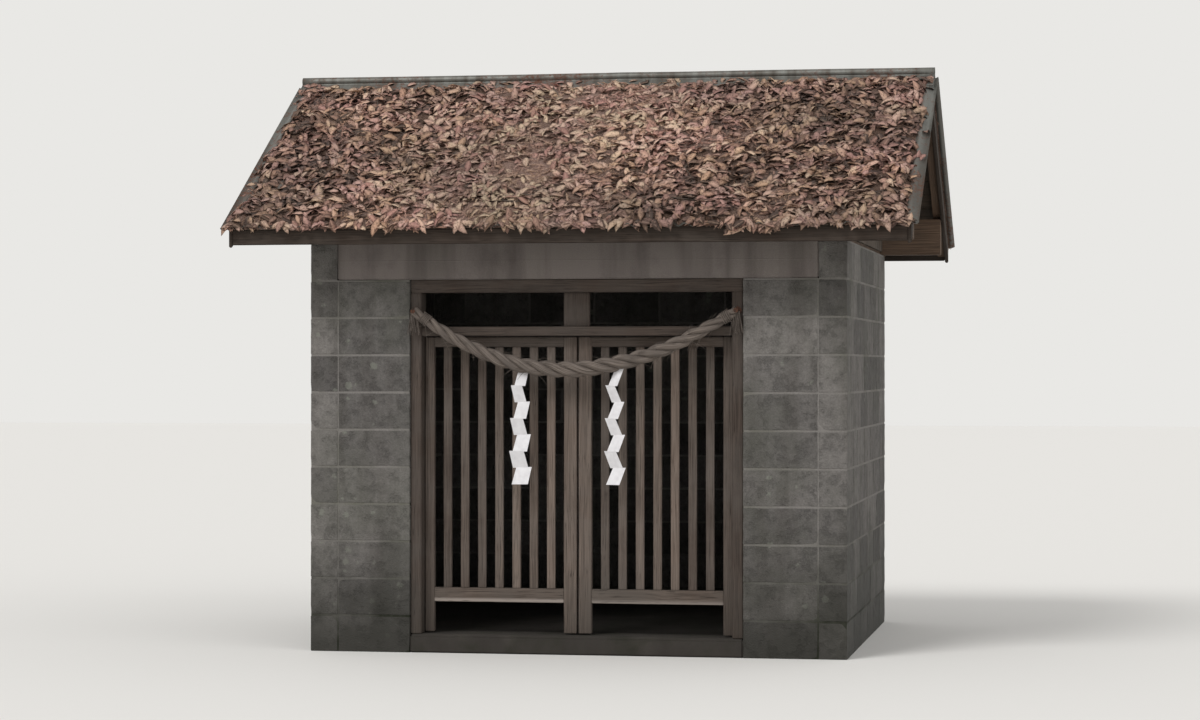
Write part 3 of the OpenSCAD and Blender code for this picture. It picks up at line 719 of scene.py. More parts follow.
# Doors
# Two leaves of stiles, a top and a bottom rail and seven slats, mortised together. The stiles run
# on below the bottom rail as feet. The slats are thinner than the rails and stand in their middle.
door_wood = softwood("old_softwood_doors", "#413730", "#70635a", "#6c655f", 0.5, spread=0.42)
tenon = 0.024
slat_count, slat_wide, slat_thick = 7, 0.045, 0.018
# Painted highlight: a pale band along the foot of each bottom rail, stronger on the left door
highlight_band_high = 0.024
for side, seeds, slat_seed, highlight_most in (
        ("left_door", (7, 5, 9, 3), 133, 1.0), ("right_door", (8, 10, 11, 13), 116, 0.45)):
    hinge_stile, meeting_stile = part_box(f"{side}_hinge_stile"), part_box(f"{side}_meeting_stile")
    inner = sorted(corner.x for corner in (*hinge_stile, *meeting_stile))[1:3]
    rail_low, rail_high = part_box(f"{side}_rails")
    slat_low, slat_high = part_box(f"{side}_slats")
    slat_foot, slat_head = slat_low.z + tenon, slat_high.z - tenon
    shapes = {
        "hinge_stile": box_shape(*hinge_stile),
        "meeting_stile": box_shape(*meeting_stile),
        "bottom_rail": box_shape((inner[0], rail_low.y, rail_low.z), (inner[1], rail_high.y, slat_foot)),
        "top_rail": box_shape((inner[0], rail_low.y, slat_head), (inner[1], rail_high.y, rail_high.z))}
    for seed, (part, shape) in zip(seeds, shapes.items()):
        along = (1, 0, 0) if "rail" in part else (0, 0, 1)
        piece = wear(f"{side}_{part}_wood", shape, along, door_wood, warp=0.0012, seed=seed)
        if part == "bottom_rail":
            high_up = [(v.co.z - rail_low.z) / highlight_band_high for v in piece.data.vertices]
            mark(piece.data, "painted_highlight", [highlight_most * (1 - share) for share in high_up])
        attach(piece, side)
        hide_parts(f"{side}_rails" if "rail" in part else f"{side}_{part}")
    gap = (inner[1] - inner[0] - slat_count * slat_wide) / (slat_count + 1)
    middle_y, middle_z = (slat_low.y + slat_high.y) / 2, (slat_low.z + slat_high.z) / 2
    slat = box_shape((-slat_wide / 2, -slat_thick / 2, slat_foot - middle_z),
                     (slat_wide / 2, slat_thick / 2, slat_head - middle_z))
    one = wear("one_slat", slat, (0, 0, 1), door_wood, edge=0.002, warp=0.001, seed=3)
    one.data.attributes.remove(one.data.attributes["tone"])
    first_x = inner[0] + gap + slat_wide / 2
    spots = [(first_x + i * (slat_wide + gap), middle_y, middle_z) for i in range(slat_count)]
    turns = [(0, 0, math.pi * (i % 2)) for i in range(slat_count)]
    slats = grown(side + "_slats_wood", laying, places(spots, turns=turns),
                  {"Original": one, "Material": door_wood, "Seed": slat_seed})
    bpy.data.objects.remove(one)
    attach(slats, side)
    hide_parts(f"{side}_slats")


# Hinges and spikes
# Forged iron: an eye on the back of each hinge stile drops over a pintle on the post. The plates
# are held by round-headed nails. A spike in each post carries the rope. All are brown with rust.

# Forged iron left bare for decades: a dull dark scale, with brown rust that has bloomed in patches
# 5 to 20 mm across and roughened it
rusted_iron, tree = new_material("rusted_forged_iron")
where = add(tree, "TexCoord", out="Object")
bloom = add(tree, "TexNoise", {"Vector": where, "Scale": 60.0, "Detail": 7.0, "Roughness": 0.7})
rust = coated(tree, "#2b2420", (add(tree, "MapRange", [bloom, 0.36, 0.64]), "#6a4029"))
finish(tree, rust, 0.8, (bloom, 0.5, 0.0008), metal=0.35)
for node in ("hinge_pintles", "left_door_hinges", "right_door_hinges", "rope_spikes"):
    refinish(node, rusted_iron)


def nail_head(radius, height):
    """A domed nail head that stands on its local +Z."""
    sides = 10
    turns = [k * 2 * math.pi / sides for k in range(sides)]
    shape = bmesh.new()
    rings = []
    for share, rise in ((1, -0.3), (0.95, 0.35), (0.6, 0.85)):
        r, z = radius * share, height * rise
        rings.append([shape.verts.new((r * math.cos(a), r * math.sin(a), z)) for a in turns])
    tip = shape.verts.new((0, 0, height))
    for k in range(sides):
        after = (k + 1) % sides
        for a, b in zip(rings, rings[1:]):
            shape.faces.new((a[k], a[after], b[after], b[k]))
        shape.faces.new((rings[-1][k], rings[-1][after], tip))
    shape.faces.new(rings[0][::-1])
    return put("nail_head", as_mesh("nail_head", shape))


def nailed(name, head, spots, tilt, seed):
    """Nail heads at the given spots, tilted by an angle about X."""
    return grown(name, laying, places(spots, turns=[(tilt, 0, 0)] * len(spots)),
                 {"Original": head, "Material": rusted_iron, "Seed": seed})


hinge_x, plate_thick, eye_half = 0.8375, 0.005, 0.020
eye_low, eye_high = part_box("left_door_hinges")
hinge_heights = (eye_low.z + eye_half, eye_high.z - eye_half)
plate_back = eye_low.y + plate_thick
head = nail_head(radius=0.0055, height=0.0030)
for side, mirror in (("left_door", 1), ("right_door", -1)):
    spots = [(mirror * (-hinge_x + x), plate_back, z + dz)
             for z in hinge_heights for x, dz in ((0.020, 0.010), (0.034, -0.010))]
    nails = nailed(side + "_hinge_nails", head, spots, -math.pi / 2, 7)
    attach(nails, side)
spots = [(mirror * (-hinge_x - x), plate_back, z + dz)
         for mirror in (1, -1) for z in hinge_heights for x, dz in ((0.022, 0.008), (0.036, -0.008))]
nails = nailed("pintle_nails", head, spots, -math.pi / 2, 8)
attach(nails, "shelter")
bpy.data.objects.remove(head)


# Roof frame
# Wall plates on the wall heads, a ridge purlin on two gable struts, and rafters notched over both.
# Sawn softwood that has stayed browner under the roof.
slope = math.radians(30)
roof_wood = softwood("sheltered_softwood", "#3b2e24", "#6b5646", "#564c43", 0.45)
for node, along, edge, seed in (
        ("front_wall_plate", (1, 0, 0), 0.004, 16), ("back_wall_plate", (1, 0, 0), 0.004, 15),
        ("ridge_purlin", (1, 0, 0), 0.004, 12), ("gable_beams", (0, 1, 0), 0.004, 11),
        ("gable_struts", (0, 0, 1), 0.003, 12),
        ("front_rafters", (0, math.cos(slope), math.sin(slope)), 0.002, 13),
        ("back_rafters", (0, -math.cos(slope), math.sin(slope)), 0.002, 12)):
    piece = wear(node + "_wood", node_shape(node), along, roof_wood, edge, step=0.25, seed=seed)
    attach(piece, "shelter")
    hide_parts(node)


# Gable boards
# Upright boards 150 mm wide close each gable and are cut round the plates and the purlin. Rain has
# greyed them more than the frame, and the joints between them stand 3 mm open.
board_wood = softwood("weathered_boards", "#2f2720", "#55493e", "#5c554d", 0.7)


def sawn(node, axis, width, gap):
    """A CAD solid sawn into boards of about one width across an axis, with open joints."""
    low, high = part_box(node)
    way = Matrix.Identity(3)[axis].copy()
    count = round((high[axis] - low[axis]) / width)
    width = (high[axis] - low[axis]) / count
    boards = bmesh.new()
    for i in range(count):
        board = node_shape(node)
        for at, sign in ((low[axis] + i * width + gap / 2, -1), (low[axis] + (i + 1) * width - gap / 2, 1)):
            if low[axis] + 1e-4 < at < high[axis] - 1e-4:
                found = cut(board, way * at, way * sign, dist=1e-6, clear_outer=True)
                rim = [e for e in found["geom_cut"] if isinstance(e, bmesh.types.BMEdge)]
                bmesh.ops.triangle_fill(board, edges=rim, use_beauty=True)
        whole_faces(board)
        bmesh.ops.recalc_face_normals(board, faces=board.faces)
        mesh = as_mesh("board", board)
        boards.from_mesh(mesh)
        bpy.data.meshes.remove(mesh)
    return boards


for node, seed in (("left_gable_boards", 20), ("right_gable_boards", 21)):
    boards = sawn(node, axis=1, width=0.150, gap=0.003)
    piece = wear(node + "_sawn", boards, (0, 0, 1), board_wood, edge=0.0015, warp=0.0012, seed=seed)
    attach(piece, "shelter")
    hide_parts(node)


# Roof boards, bargeboards and fascias
# Boards 146 mm wide lie across the rafters with narrow open joints. A bargeboard closes each end of
# the boards and a fascia covers the feet of the rafters. Their edges are soft with rot.
down = {"front": 1, "back": -1}
board_count, board_thick, board_play = 12, 0.012, 0.001
for side, sign in down.items():
    low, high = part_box(side + "_roof_boards")
    board_pitch = (high.y - low.y) / math.cos(slope) / board_count
    board = box_shape((low.x + board_play, -board_pitch / 2 + board_play, -board_thick / 2),
                      (high.x - board_play, board_pitch / 2 - board_play, board_thick / 2))
    one = wear("one_board", board, (1, 0, 0), board_wood, edge=0.0015, warp=0.0010, seed=31)
    one.data.attributes.remove(one.data.attributes["tone"])
    eave_y, eave_z = (low.y if sign == 1 else high.y), low.z + board_thick / 2 * math.cos(slope)
    ups = [(i + 0.5) * board_pitch for i in range(board_count)]
    spots = [(0, eave_y + sign * up * math.cos(slope), eave_z + up * math.sin(slope)) for up in ups]
    turns = [(sign * slope, 0, 0)] * board_count
    boards = grown(side + "_roof_boards_laid", laying, places(spots, turns=turns),
                   {"Original": one, "Material": board_wood, "Seed": 50 + sign})
    bpy.data.objects.remove(one)
    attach(boards, "shelter")
    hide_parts(side + "_roof_boards")
# The eave boards are darker than the other wood: partly weathered dark wood, partly painted shade for the
# dark line under the eave
trim_wood = softwood("dark_eave_boards", "#211a15", "#40362f", "#47413b", 0.5)
for node, along, seed in (("front_bargeboards", (0, math.cos(slope), math.sin(slope)), 20),
                          ("back_bargeboards", (0, -math.cos(slope), math.sin(slope)), 19),
                          ("eave_fascias", (1, 0, 0), 15)):
    piece = wear(node + "_wood", node_shape(node), along, trim_wood, edge=0.004, warp=0.003, step=0.12,
                 seed=seed)
    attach(piece, "shelter")
    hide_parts(node)


# Roof sheets
# Corrugated sheet steel with a zinc coat, in six widths on each slope, each lapped over the next and
# nailed down through its crests.

# Zinc-coated sheet, once shiny: the coat has gone a dull grey and is streaked by wet leaves, and
# patches of it have rusted through to rough brown
zinc_sheet, tree = new_material("weathered_zinc_coated_sheet")
where = add(tree, "TexCoord", out="Object")
cloud = add(tree, "TexNoise", {"Vector": where, "Scale": 2.4, "Detail": 8.0, "Roughness": 0.68})
fine = add(tree, "TexNoise", {"Vector": where, "Scale": 45.0, "Detail": 6.0, "Roughness": 0.7})
stretched = add(tree, "VectorMath", [where, (16.0, 1.2, 1.2)], operation="MULTIPLY")
run_off = add(tree, "TexNoise", {"Vector": stretched, "Scale": 1.0, "Detail": 5.0})
dirt = add(tree, "MapRange", [run_off, 0.4, 0.68, 0.0, 0.8])
rusty = add(tree, "Math", [cloud, fine], operation="ADD")
rusty = add(tree, "MapRange", [rusty, 1.0, 1.2])
coat = coated(tree, "#5b5b58", (fine, "#85857f"), (dirt, "#413a32"), (rusty, "#5b3726"))
rough = add(tree, "MapRange", [rusty, 0.0, 1.0, 0.5, 0.9])
shine = add(tree, "MapRange", [rusty, 0.0, 1.0, 0.7, 0.05])
finish(tree, coat, rough, (fine, 0.3, 0.0008), metal=shine)

corrugations, widths, wave_high, sheet_thick = 48, 6, 0.018, 0.0009
deck_gap, sheet_overhang = 0.0002, 0.030
roof_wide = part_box("front_roof_sheet")[1].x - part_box("front_roof_sheet")[0].x
deck_low, deck_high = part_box("front_roof_boards")
deck_top = deck_high.z + deck_gap
sheet_long = (deck_high.y - deck_low.y + sheet_overhang) / math.cos(slope)

# This node tree makes one corrugated width from a flat grid, gives it its thickness, and lays the
# widths side by side, every other one 1.2 mm higher, so that they lap.
sheeting, given = new_tree("corrugated_sheeting", [
    ("Base", "Geometry", None), ("Width", "Float", 0.6), ("Length", "Float", 1.8),
    ("Corrugations", "Float", 8.0), ("Height", "Float", 0.018), ("Thickness", "Float", 0.0009),
    ("Count", "Int", 6), ("Material", "Material", None), ("Seed", "Int", 1)])
lapped = add(sheeting, "Math", [given["Width"], 1.06], operation="MULTIPLY")
flat = add(sheeting, "GeometryNodeMeshGrid", {
    "Size X": lapped, "Size Y": given["Length"], "Vertices X": 86, "Vertices Y": 7}, "Mesh")
spot = add(sheeting, "GeometryNodeInputPosition")
spot_x = add(sheeting, "SeparateXYZ", [spot], "X")
angle = add(sheeting, "Math", [spot_x, given["Width"]], operation="DIVIDE")
angle = add(sheeting, "Math", [angle, given["Corrugations"]], operation="MULTIPLY")
angle = add(sheeting, "Math", [angle, 2 * math.pi], operation="MULTIPLY")
wave = add(sheeting, "Math", [angle], operation="COSINE")
wave = add(sheeting, "Math", [1.0, wave], operation="SUBTRACT")
wave = add(sheeting, "Math", [wave, given["Height"]], operation="MULTIPLY")
dent = add(sheeting, "TexNoise", {"Vector": spot, "Scale": 3.0, "Detail": 2.0})
dent = add(sheeting, "Math", [dent, 0.004], operation="MULTIPLY")
wave = add(sheeting, "Math", [wave, 0.5, dent], operation="MULTIPLY_ADD")
lift = add(sheeting, "CombineXYZ", {2: wave})
bent = add(sheeting, "GeometryNodeSetPosition", {"Geometry": flat, "Offset": lift})
top = add(sheeting, "GeometryNodeExtrudeMesh", {
    "Mesh": bent, "Offset Scale": given["Thickness"], "Individual": False}, "Mesh")
under = add(sheeting, "GeometryNodeFlipFaces", {"Mesh": bent})
solid = add(sheeting, "GeometryNodeJoinGeometry", out=None)
sheeting.links.new(top, solid.inputs[0])
sheeting.links.new(under, solid.inputs[0])
solid = add(sheeting, "GeometryNodeMergeByDistance", {"Geometry": solid.outputs[0], "Distance": 0.00001})
stride = add(sheeting, "CombineXYZ", {0: given["Width"]})
row = add(sheeting, "GeometryNodeMeshLine", {"Count": given["Count"], "Offset": stride}, mode="OFFSET")
number = add(sheeting, "GeometryNodeInputIndex")
odd = add(sheeting, "Math", [number, 2.0], operation="MODULO")
raised = add(sheeting, "Math", [odd, 0.0012], operation="MULTIPLY")
uneven = add(sheeting, "FunctionNodeRandomValue", {2: -0.006, 3: 0.004, "Seed": given["Seed"]}, 1,
             data_type="FLOAT")
place = add(sheeting, "CombineXYZ", {1: uneven, 2: raised})
row = add(sheeting, "GeometryNodeSetPosition", {"Geometry": row, "Offset": place})
laid = add(sheeting, "GeometryNodeInstanceOnPoints", {"Points": row, "Instance": solid})
end_tree(sheeting, laid, given["Material"])

tilts = {sign: Matrix.Translation((0, 0, deck_top)) @ Matrix.Rotation(sign * slope, 4, "X")
         for sign in down.values()}


def on_roof(sign, x, away, height):
    """The place at x along a slope, so far away from the ridge and so high over its boards."""
    return tilts[sign] @ Vector((x, -sign * away, height))


sheet_cover = roof_wide / widths
end_play = 0.006
nail_rows, washer = (0.10, 0.55, 1.15, 1.66), 0.0035
head = nail_head(radius=0.009, height=0.006)
for side, sign in down.items():
    sheets = grown(side + "_sheets", sheeting, places([(0, 0, 0)]), {
        "Width": sheet_cover, "Length": sheet_long - 2 * end_play, "Height": wave_high,
        "Corrugations": float(corrugations / widths), "Thickness": sheet_thick, "Count": widths,
        "Material": zinc_sheet, "Seed": 60 + sign})
    start = Matrix.Translation((-roof_wide / 2 + sheet_cover / 2, -sign * (sheet_long / 2 + end_play), 0.0))
    sheets.data.transform(tilts[sign] @ start)
    shade_smooth(sheets, 60)
    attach(sheets, "shelter")
    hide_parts(side + "_roof_sheet")
    crests = [-roof_wide / 2 + (k + 0.5) * roof_wide / corrugations for k in range(1, corrugations, 2)]
    spots = [on_roof(sign, x, away, wave_high + washer) for away in nail_rows for x in crests]
    nails = nailed(side + "_sheet_nails", head, spots, sign * slope, 9)
    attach(nails, "shelter")
bpy.data.objects.remove(head)


# Ridge cap
# Two lengths of the same sheet steel, bent over the ridge with a roll along the top and hemmed
# edges. The second length laps 1.6 mm over the first, and the leaves have pushed both out of true.
cap_low, cap_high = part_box("ridge_cap")
wing, roll_r, cap_thick = 0.1299, 0.024, 0.0012
lap, lap_x = 0.0016, 0.03
neck = roll_r * 0.95
neck_z = cap_high.z - 1.5 * roll_r - neck * math.tan(slope) + 0.002
outline = [(-wing - 0.001, cap_low.z - 0.004), (-wing - 0.003, cap_low.z + 0.001),
           (-wing + 0.002, cap_low.z + 0.005), (-neck, neck_z)]
mirrored = [(-y, z) for y, z in outline[::-1]]
outline += [(roll_r * math.cos(a), cap_high.z - roll_r + roll_r * math.sin(a))
            for a in np.linspace(math.radians(218), math.radians(-38), 18)]
outline += mirrored
stations = np.linspace(cap_low.x + 0.001, cap_high.x - 0.001, 38)
points = []
for x in stations:
    for y, z in outline:
        sway = noise.noise_vector(Vector((x * 1.7, y * 3, z)))
        points.append((x, y + 0.002 * sway[0], z + (lap if x > lap_x else 0.0) + 0.0025 * sway[1]))


def grid_faces(columns, rows):
    """The faces of a grid of points, which is given row by row."""
    return [(j * columns + i, j * columns + i + 1, (j + 1) * columns + i + 1, (j + 1) * columns + i)
            for j in range(rows - 1) for i in range(columns - 1)]


cap = new_piece("ridge_cap_bent", points, grid_faces(len(outline), len(stations)), zinc_sheet)
shell = cap.modifiers.new("thickness", "SOLIDIFY")
shell.thickness = cap_thick
shell.offset = 1
shade_smooth(cap, 50)
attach(cap, "shelter")
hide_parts("ridge_cap")


# Leaf litter
# Years of fallen camellia and oak leaves and cedar sprays, matted over leaf mould. The bed fills the
# troughs of the sheets, runs up over the wings of the ridge cap, and hangs over the eaves.

# Leaf mould: dark brown crumbs and shreds of rotted leaf, 3 to 15 mm across, fully matt. Where cedar
# needles have matted together it is redder, with paler threads, drawn 2.4 mm wide so that they show.
leaf_mould, tree = new_material("damp_leaf_mould")
where = add(tree, "TexCoord", out="Object")
needly = add(tree, "Attribute", out="Fac", attribute_name="needles")
lay = add(tree, "Attribute", out="Vector", attribute_name="lay")
shred = add(tree, "TexVoronoi", {"Vector": where, "Scale": 75.0}, "Color")
shred = add(tree, "SeparateColor", [shred])
crumb = add(tree, "TexNoise", {"Vector": where, "Scale": 130.0, "Detail": 6.0, "Roughness": 0.7})
matted = coated(tree, "#665149", (crumb, "#a7897c"))
threads = 0.0
for turn in (0.2, 1.1, 1.9, 2.7):
    turned = add(tree, "Mapping", {"Vector": lay, "Rotation": (0, 0, turn), "Scale": (0.030, 0.0024, 1.0)},
                 vector_type="TEXTURE")
    thread = add(tree, "TexNoise", {"Vector": turned, "Scale": 1.0, "Detail": 1.5})
    thread = add(tree, "MapRange", [thread, 0.57, 0.68])
    threads = add(tree, "Math", [thread, threads], operation="MAXIMUM")
amount = add(tree, "MapRange", [needly, 0.0, 0.6, 0.25, 0.85])
amount = add(tree, "Math", [amount, threads], operation="MULTIPLY")
mould = coated(tree, "#2c221c", (shred, "#6b5548"), (crumb, "#3d2b20"), (needly, matted), (amount, "#c6a99b"))
height = add(tree, "Math", [shred, crumb], operation="ADD")
height = add(tree, "Math", [amount, 1.3, height], operation="MULTIPLY_ADD")
finish(tree, mould, 0.95, (height, 0.9, 0.004), specular=0.15)


def dry_foliage(name, hexes):
    """Dry leaf, matt to slightly waxy: each one has its own brown, from rotted to fresh tan, with a
    paler midrib, fine side veins and dark spots of mould. Broad patches of the roof are painted darker and
    greyer, as painted shade."""
    made, tree = new_material(name)
    where = add(tree, "TexCoord", out="Object")
    own = add(tree, "Attribute", out="Fac", attribute_name="tone")
    blade = add(tree, "Attribute", out="Vector", attribute_name="blade")
    drift = add(tree, "TexNoise", {"Vector": where, "Scale": 1.9, "Detail": 5.0, "Roughness": 0.6})
    drift = add(tree, "MapRange", [drift, 0.3, 0.7, -0.22, 0.22])
    shade = add(tree, "Math", [own, drift], operation="ADD")
    ramp = add(tree, "ValToRGB", [shade], None)
    for k in range(len(hexes) - 2):
        ramp.color_ramp.elements.new((k + 1) / (len(hexes) - 1))
    for stop, code in zip(ramp.color_ramp.elements, hexes):
        stop.color = colour(code)
    parts = add(tree, "SeparateXYZ", [blade], None).outputs
    across = add(tree, "Math", [parts["Y"]], operation="ABSOLUTE")
    rib = add(tree, "MapRange", [across, 0.05, 0.13, 0.45, 0.0])
    veins = add(tree, "Math", [across, -0.35, parts["X"]], operation="MULTIPLY_ADD")
    veins = add(tree, "Math", [veins, 62.0], operation="MULTIPLY")
    veins = add(tree, "Math", [veins], operation="SINE")
    patch = add(tree, "TexNoise", {"Vector": where, "Scale": 2.7, "Detail": 4.0, "Roughness": 0.6})
    warm = add(tree, "MapRange", [patch, 0.42, 0.58])
    # Painted shade: broad patches of the leaves are darkened towards a grey brown
    painted_shade = add(tree, "TexNoise", {"Vector": where, "Scale": 1.2, "Detail": 6.0, "Roughness": 0.66})
    painted_shade = add(tree, "MapRange", [painted_shade, 0.38, 0.6, 0.5, 0.0])
    spots = add(tree, "TexNoise", {"Vector": where, "Scale": 85.0, "Detail": 5.0})
    spots = add(tree, "MapRange", [spots, 0.52, 0.66, 0.0, 0.7])
    brown = coated(tree, ramp.outputs[0], (rib, "#bda692"))
    cast = coated(tree, "#f8e2e0", (warm, "#f6eadb"))
    brown = add(tree, "Mix", {0: 1.0, 6: brown, 7: cast}, 2, data_type="RGBA", blend_type="MULTIPLY")
    brown = coated(tree, brown, (painted_shade, "#4f4842"), (spots, "#3d2c24"))
    finish(tree, brown, 0.7, (veins, 0.35, 0.0006), specular=0.3)
    return made


camellia_brown = dry_foliage("dry_camellia_leaves",
                             ("#50433e", "#856c63", "#a98a80", "#c1a49a", "#d3bbb1", "#dfceba"))
oak_brown = dry_foliage("dry_oak_leaves", ("#5e504a", "#987f71", "#bc9f8b", "#d4baa4", "#e6d2c0", "#b6948a"))
cedar_brown = dry_foliage("dry_cedar_sprays", ("#846860", "#b9978b", "#d2b1a5", "#e3cabf"))


def leaf(name, long, wide, fold, curl, twist):
    """A dry leaf as a thin closed blade along X, folded at its midrib, curled and twisted."""
    def spot(u, v, lift):
        y, z = v * wide / 2, abs(v) * wide / 2 * fold - curl * long * (u - 0.5) ** 2 + lift
        level, upright = math.cos(twist * (u - 0.5)), math.sin(twist * (u - 0.5))
        return (u - 0.5) * long, y * level - z * upright, y * upright + z * level

    # Base and tip, then three rows of four points: both rims, and the midrib above and below
    at = [(0, 0, 0), (1, 0, 0)]
    for u, v in ((0.16, 0.58), (0.45, 1.0), (0.76, 0.70)):
        at += [(u, v, 0), (u, -v, 0), (u, 0, 0.0003), (u, 0, -0.0004)]
    faces = []
    for mid, flip in ((2, 1), (3, -1)):
        half = [(0, 3, 2 + mid), (0, 2 + mid, 2)]
        for a, b in ((2, 6), (6, 10)):
            half += [(a + 1, b + 1, b + mid), (a + 1, b + mid, a + mid)]
            half += [(a + mid, b + mid, b), (a + mid, b, a)]
        half += [(11, 1, 10 + mid), (10 + mid, 1, 10)]
        faces += [face[::flip] for face in half]
    made = new_piece(name, [spot(*p) for p in at], faces, camellia_brown, blade=[(u, v, 0) for u, v, _ in at])
    made.data.shade_smooth()
    return made


def spray(name, long, pairs, needle):
    """A dry cedar shoot: short curved needles stand round a thin drooping stem."""
    def stem(u):
        return np.array((u * long, 0, -0.08 * long * u * u))

    shapes = [tube([stem(u) for u in np.linspace(0, 1, 4)], np.linspace(0.0012, 0.0006, 4), 3)]
    half_thick = 0.0015
    pick = random.Random(11)
    for k in range(pairs):
        u = (k + 0.5) / pairs
        turn = k * 2.4 + pick.uniform(-0.3, 0.3)
        out = np.array((0.75, math.cos(turn) * 0.75, math.sin(turn) * 0.55))
        side = np.cross(out, (1, 0, 0.2))
        side *= half_thick / np.linalg.norm(side)
        other = np.cross(out, side)
        other *= half_thick / np.linalg.norm(other)
        tip = (out + np.array((0.3, 0, 0))) * needle * (1 - 0.45 * u)
        base = stem(u) + np.array([side, other * 0.87 - side * 0.5, -other * 0.87 - side * 0.5, tip])
        shapes.append((base, [(0, 1, 3), (1, 2, 3), (2, 0, 3), (0, 2, 1)], np.zeros((4, 3))))
    points, faces, _ = gather(shapes)
    points = points - np.array((long / 2, 0, 0))
    made = new_piece(name, points, faces, cedar_brown, blade=np.zeros((len(points), 3)))
    outward(made)
    return made


# This node tree scatters copies of one leaf over the top of the bed, as thickly as the attribute
# that it is given says. Each lies near the surface, spun round at random and tilted. Its tone is its
# own, and lighter where the bed is marked: a painted pool of sunlight down the middle, and tufts
# that are partly paler leaves and partly painted dappled light.
scatter, given = new_tree("scatter_fallen_leaves", [
    ("Bed", "Geometry", None), ("Leaf", "Object", None), ("Leaves per square metre", "Float", 800.0),
    ("Tilt", "Float", 0.4), ("Smallest", "Float", 0.7), ("Largest", "Float", 1.2), ("Lift", "Float", 0.01),
    ("Material", "Material", None), ("Seed", "Int", 1), ("Cover", "String", "leaf_cover")])
thickly = add(scatter, "GeometryNodeInputNamedAttribute", {"Name": given["Cover"]}, data_type="FLOAT")
density = add(scatter, "Math", [thickly, given["Leaves per square metre"]], operation="MULTIPLY")
spread = add(scatter, "GeometryNodeDistributePointsOnFaces", {
    "Mesh": given["Bed"], "Density": density, "Seed": given["Seed"]}, None,
    distribute_method="RANDOM").outputs
back_tilt = add(scatter, "Math", [given["Tilt"], -1.0], operation="MULTIPLY")
least = add(scatter, "CombineXYZ", [back_tilt, back_tilt])
most = add(scatter, "CombineXYZ", [given["Tilt"], given["Tilt"], 2 * math.pi])
turn = add(scatter, "FunctionNodeRandomValue", {0: least, 1: most, "Seed": given["Seed"]},
           data_type="FLOAT_VECTOR")
turn = add(scatter, "FunctionNodeEulerToRotation", [turn])
turn = add(scatter, "FunctionNodeRotateRotation", [spread["Rotation"], turn], rotation_space="LOCAL")
size = add(scatter, "FunctionNodeRandomValue", {
    2: given["Smallest"], 3: given["Largest"], "Seed": given["Seed"]}, 1, data_type="FLOAT")
other_seed = add(scatter, "Math", [given["Seed"], 17.0], operation="ADD")
rise = add(scatter, "FunctionNodeRandomValue", {2: 0.0, 3: given["Lift"], "Seed": other_seed}, 1,
           data_type="FLOAT")
rise = add(scatter, "VectorMath", {0: spread["Normal"], "Scale": rise}, operation="SCALE")
fallen = add(scatter, "GeometryNodeSetPosition", {"Geometry": spread["Points"], "Offset": rise})
one_leaf = add(scatter, "GeometryNodeObjectInfo", {"Object": given["Leaf"]}, "Geometry")
fallen = add(scatter, "GeometryNodeInstanceOnPoints", {
    "Points": fallen, "Instance": one_leaf, "Rotation": turn, "Scale": size})
chance = add(scatter, "FunctionNodeRandomValue", {"Seed": other_seed}, 1, data_type="FLOAT")
# Painted light: the tone is raised where the bed marks painted sunlight and pale tufts
bleached = add(scatter, "GeometryNodeInputNamedAttribute", {"Name": "bleached"}, data_type="FLOAT")
chance = add(scatter, "Math", [chance, 0.8, bleached], operation="MULTIPLY_ADD")
end_tree(scatter, fallen, given["Material"], chance)

litter_top, litter_foot, litter_side = 0.045, sheet_long - 0.004, roof_wide / 2 - 0.012
bed_foot, trough_top = 0.0025, 0.003
deep_mean = {1: 0.036, -1: 0.028}
mat_x, mat_lean, mat_half_w = -0.05, 0.32, 0.55


def limited(value):
    """A value kept between 0 and 1."""
    return max(0.0, min(1.0, value))


def litter_depth(x, away, sign):
    """Depth of the litter above the troughs of the sheets, and how thickly leaves lie there."""
    lump = noise.fractal(Vector((x * 1.1, away * 1.5 + 9 * sign, 0.3)), 1.0, 2.0, 4)
    drift = noise.fractal(Vector((x * 3.4, away * 3.9 - 5 * sign, 7.1)), 0.8, 2.0, 3)
    crumb = noise.noise(Vector((x * 16, away * 16, 4 + sign)))
    ragged = 0.45 * noise.fractal(Vector((x * 4.1, away * 4.7, 2.0 + sign)), 0.9, 2.0, 4)
    side_room, top_room, foot_room = litter_side - abs(x), away - litter_top, litter_foot - away
    rim = min(side_room / 0.09, top_room / 0.10, foot_room / 0.045)
    rim = limited(rim + ragged * (rim < 1.5))
    rim = rim * rim * (3 - 2 * rim)
    deep = rim * (deep_mean[sign] + 0.018 * lump + 0.011 * drift + 0.005 * crumb)
    at_edge = min(side_room, top_room, foot_room) < 1e-4
    return (0.0 if at_edge else max(0.001, deep)), limited(0.1 + 1.2 * rim)


def in_mat(x, away, half_w):
    """1 along the middle line of the mat of cedar shoots, and falling off on both sides of it."""
    return math.exp(-((x + mat_x + mat_lean * away) / half_w) ** 2)


def needle_share(x, away, sign):
    """How far cedar shoots take the place of broad leaves: a mat of them runs down the middle."""
    patch = noise.fractal(Vector((x * 1.6, away * 1.9, 12.0 + sign)), 0.9, 2.0, 4)
    return limited(0.95 * in_mat(x, away, mat_half_w) + 1.1 * patch - 0.1)


def painted_sun_and_tufts(x, away, sign):
    """How much lighter the leaves are painted: most of all down the middle, as a painted pool of sunlight,
    and in tufts that are partly paler leaves and partly painted dappled light.
    """
    tuft = noise.fractal(Vector((x * 7.5, away * 8.5, 3.0 - sign)), 0.8, 2.0, 3)
    return 0.60 * tuft + 0.62 * in_mat(x, away, mat_half_w * 1.1) - 0.12


def clump(x):
    """How far the litter hangs over the eave here, from 0 to about 0.6: it comes away in clumps."""
    return max(0.0, noise.fractal(Vector((x * 2.7, 0.5, 8.0)), 0.9, 2.0, 3))


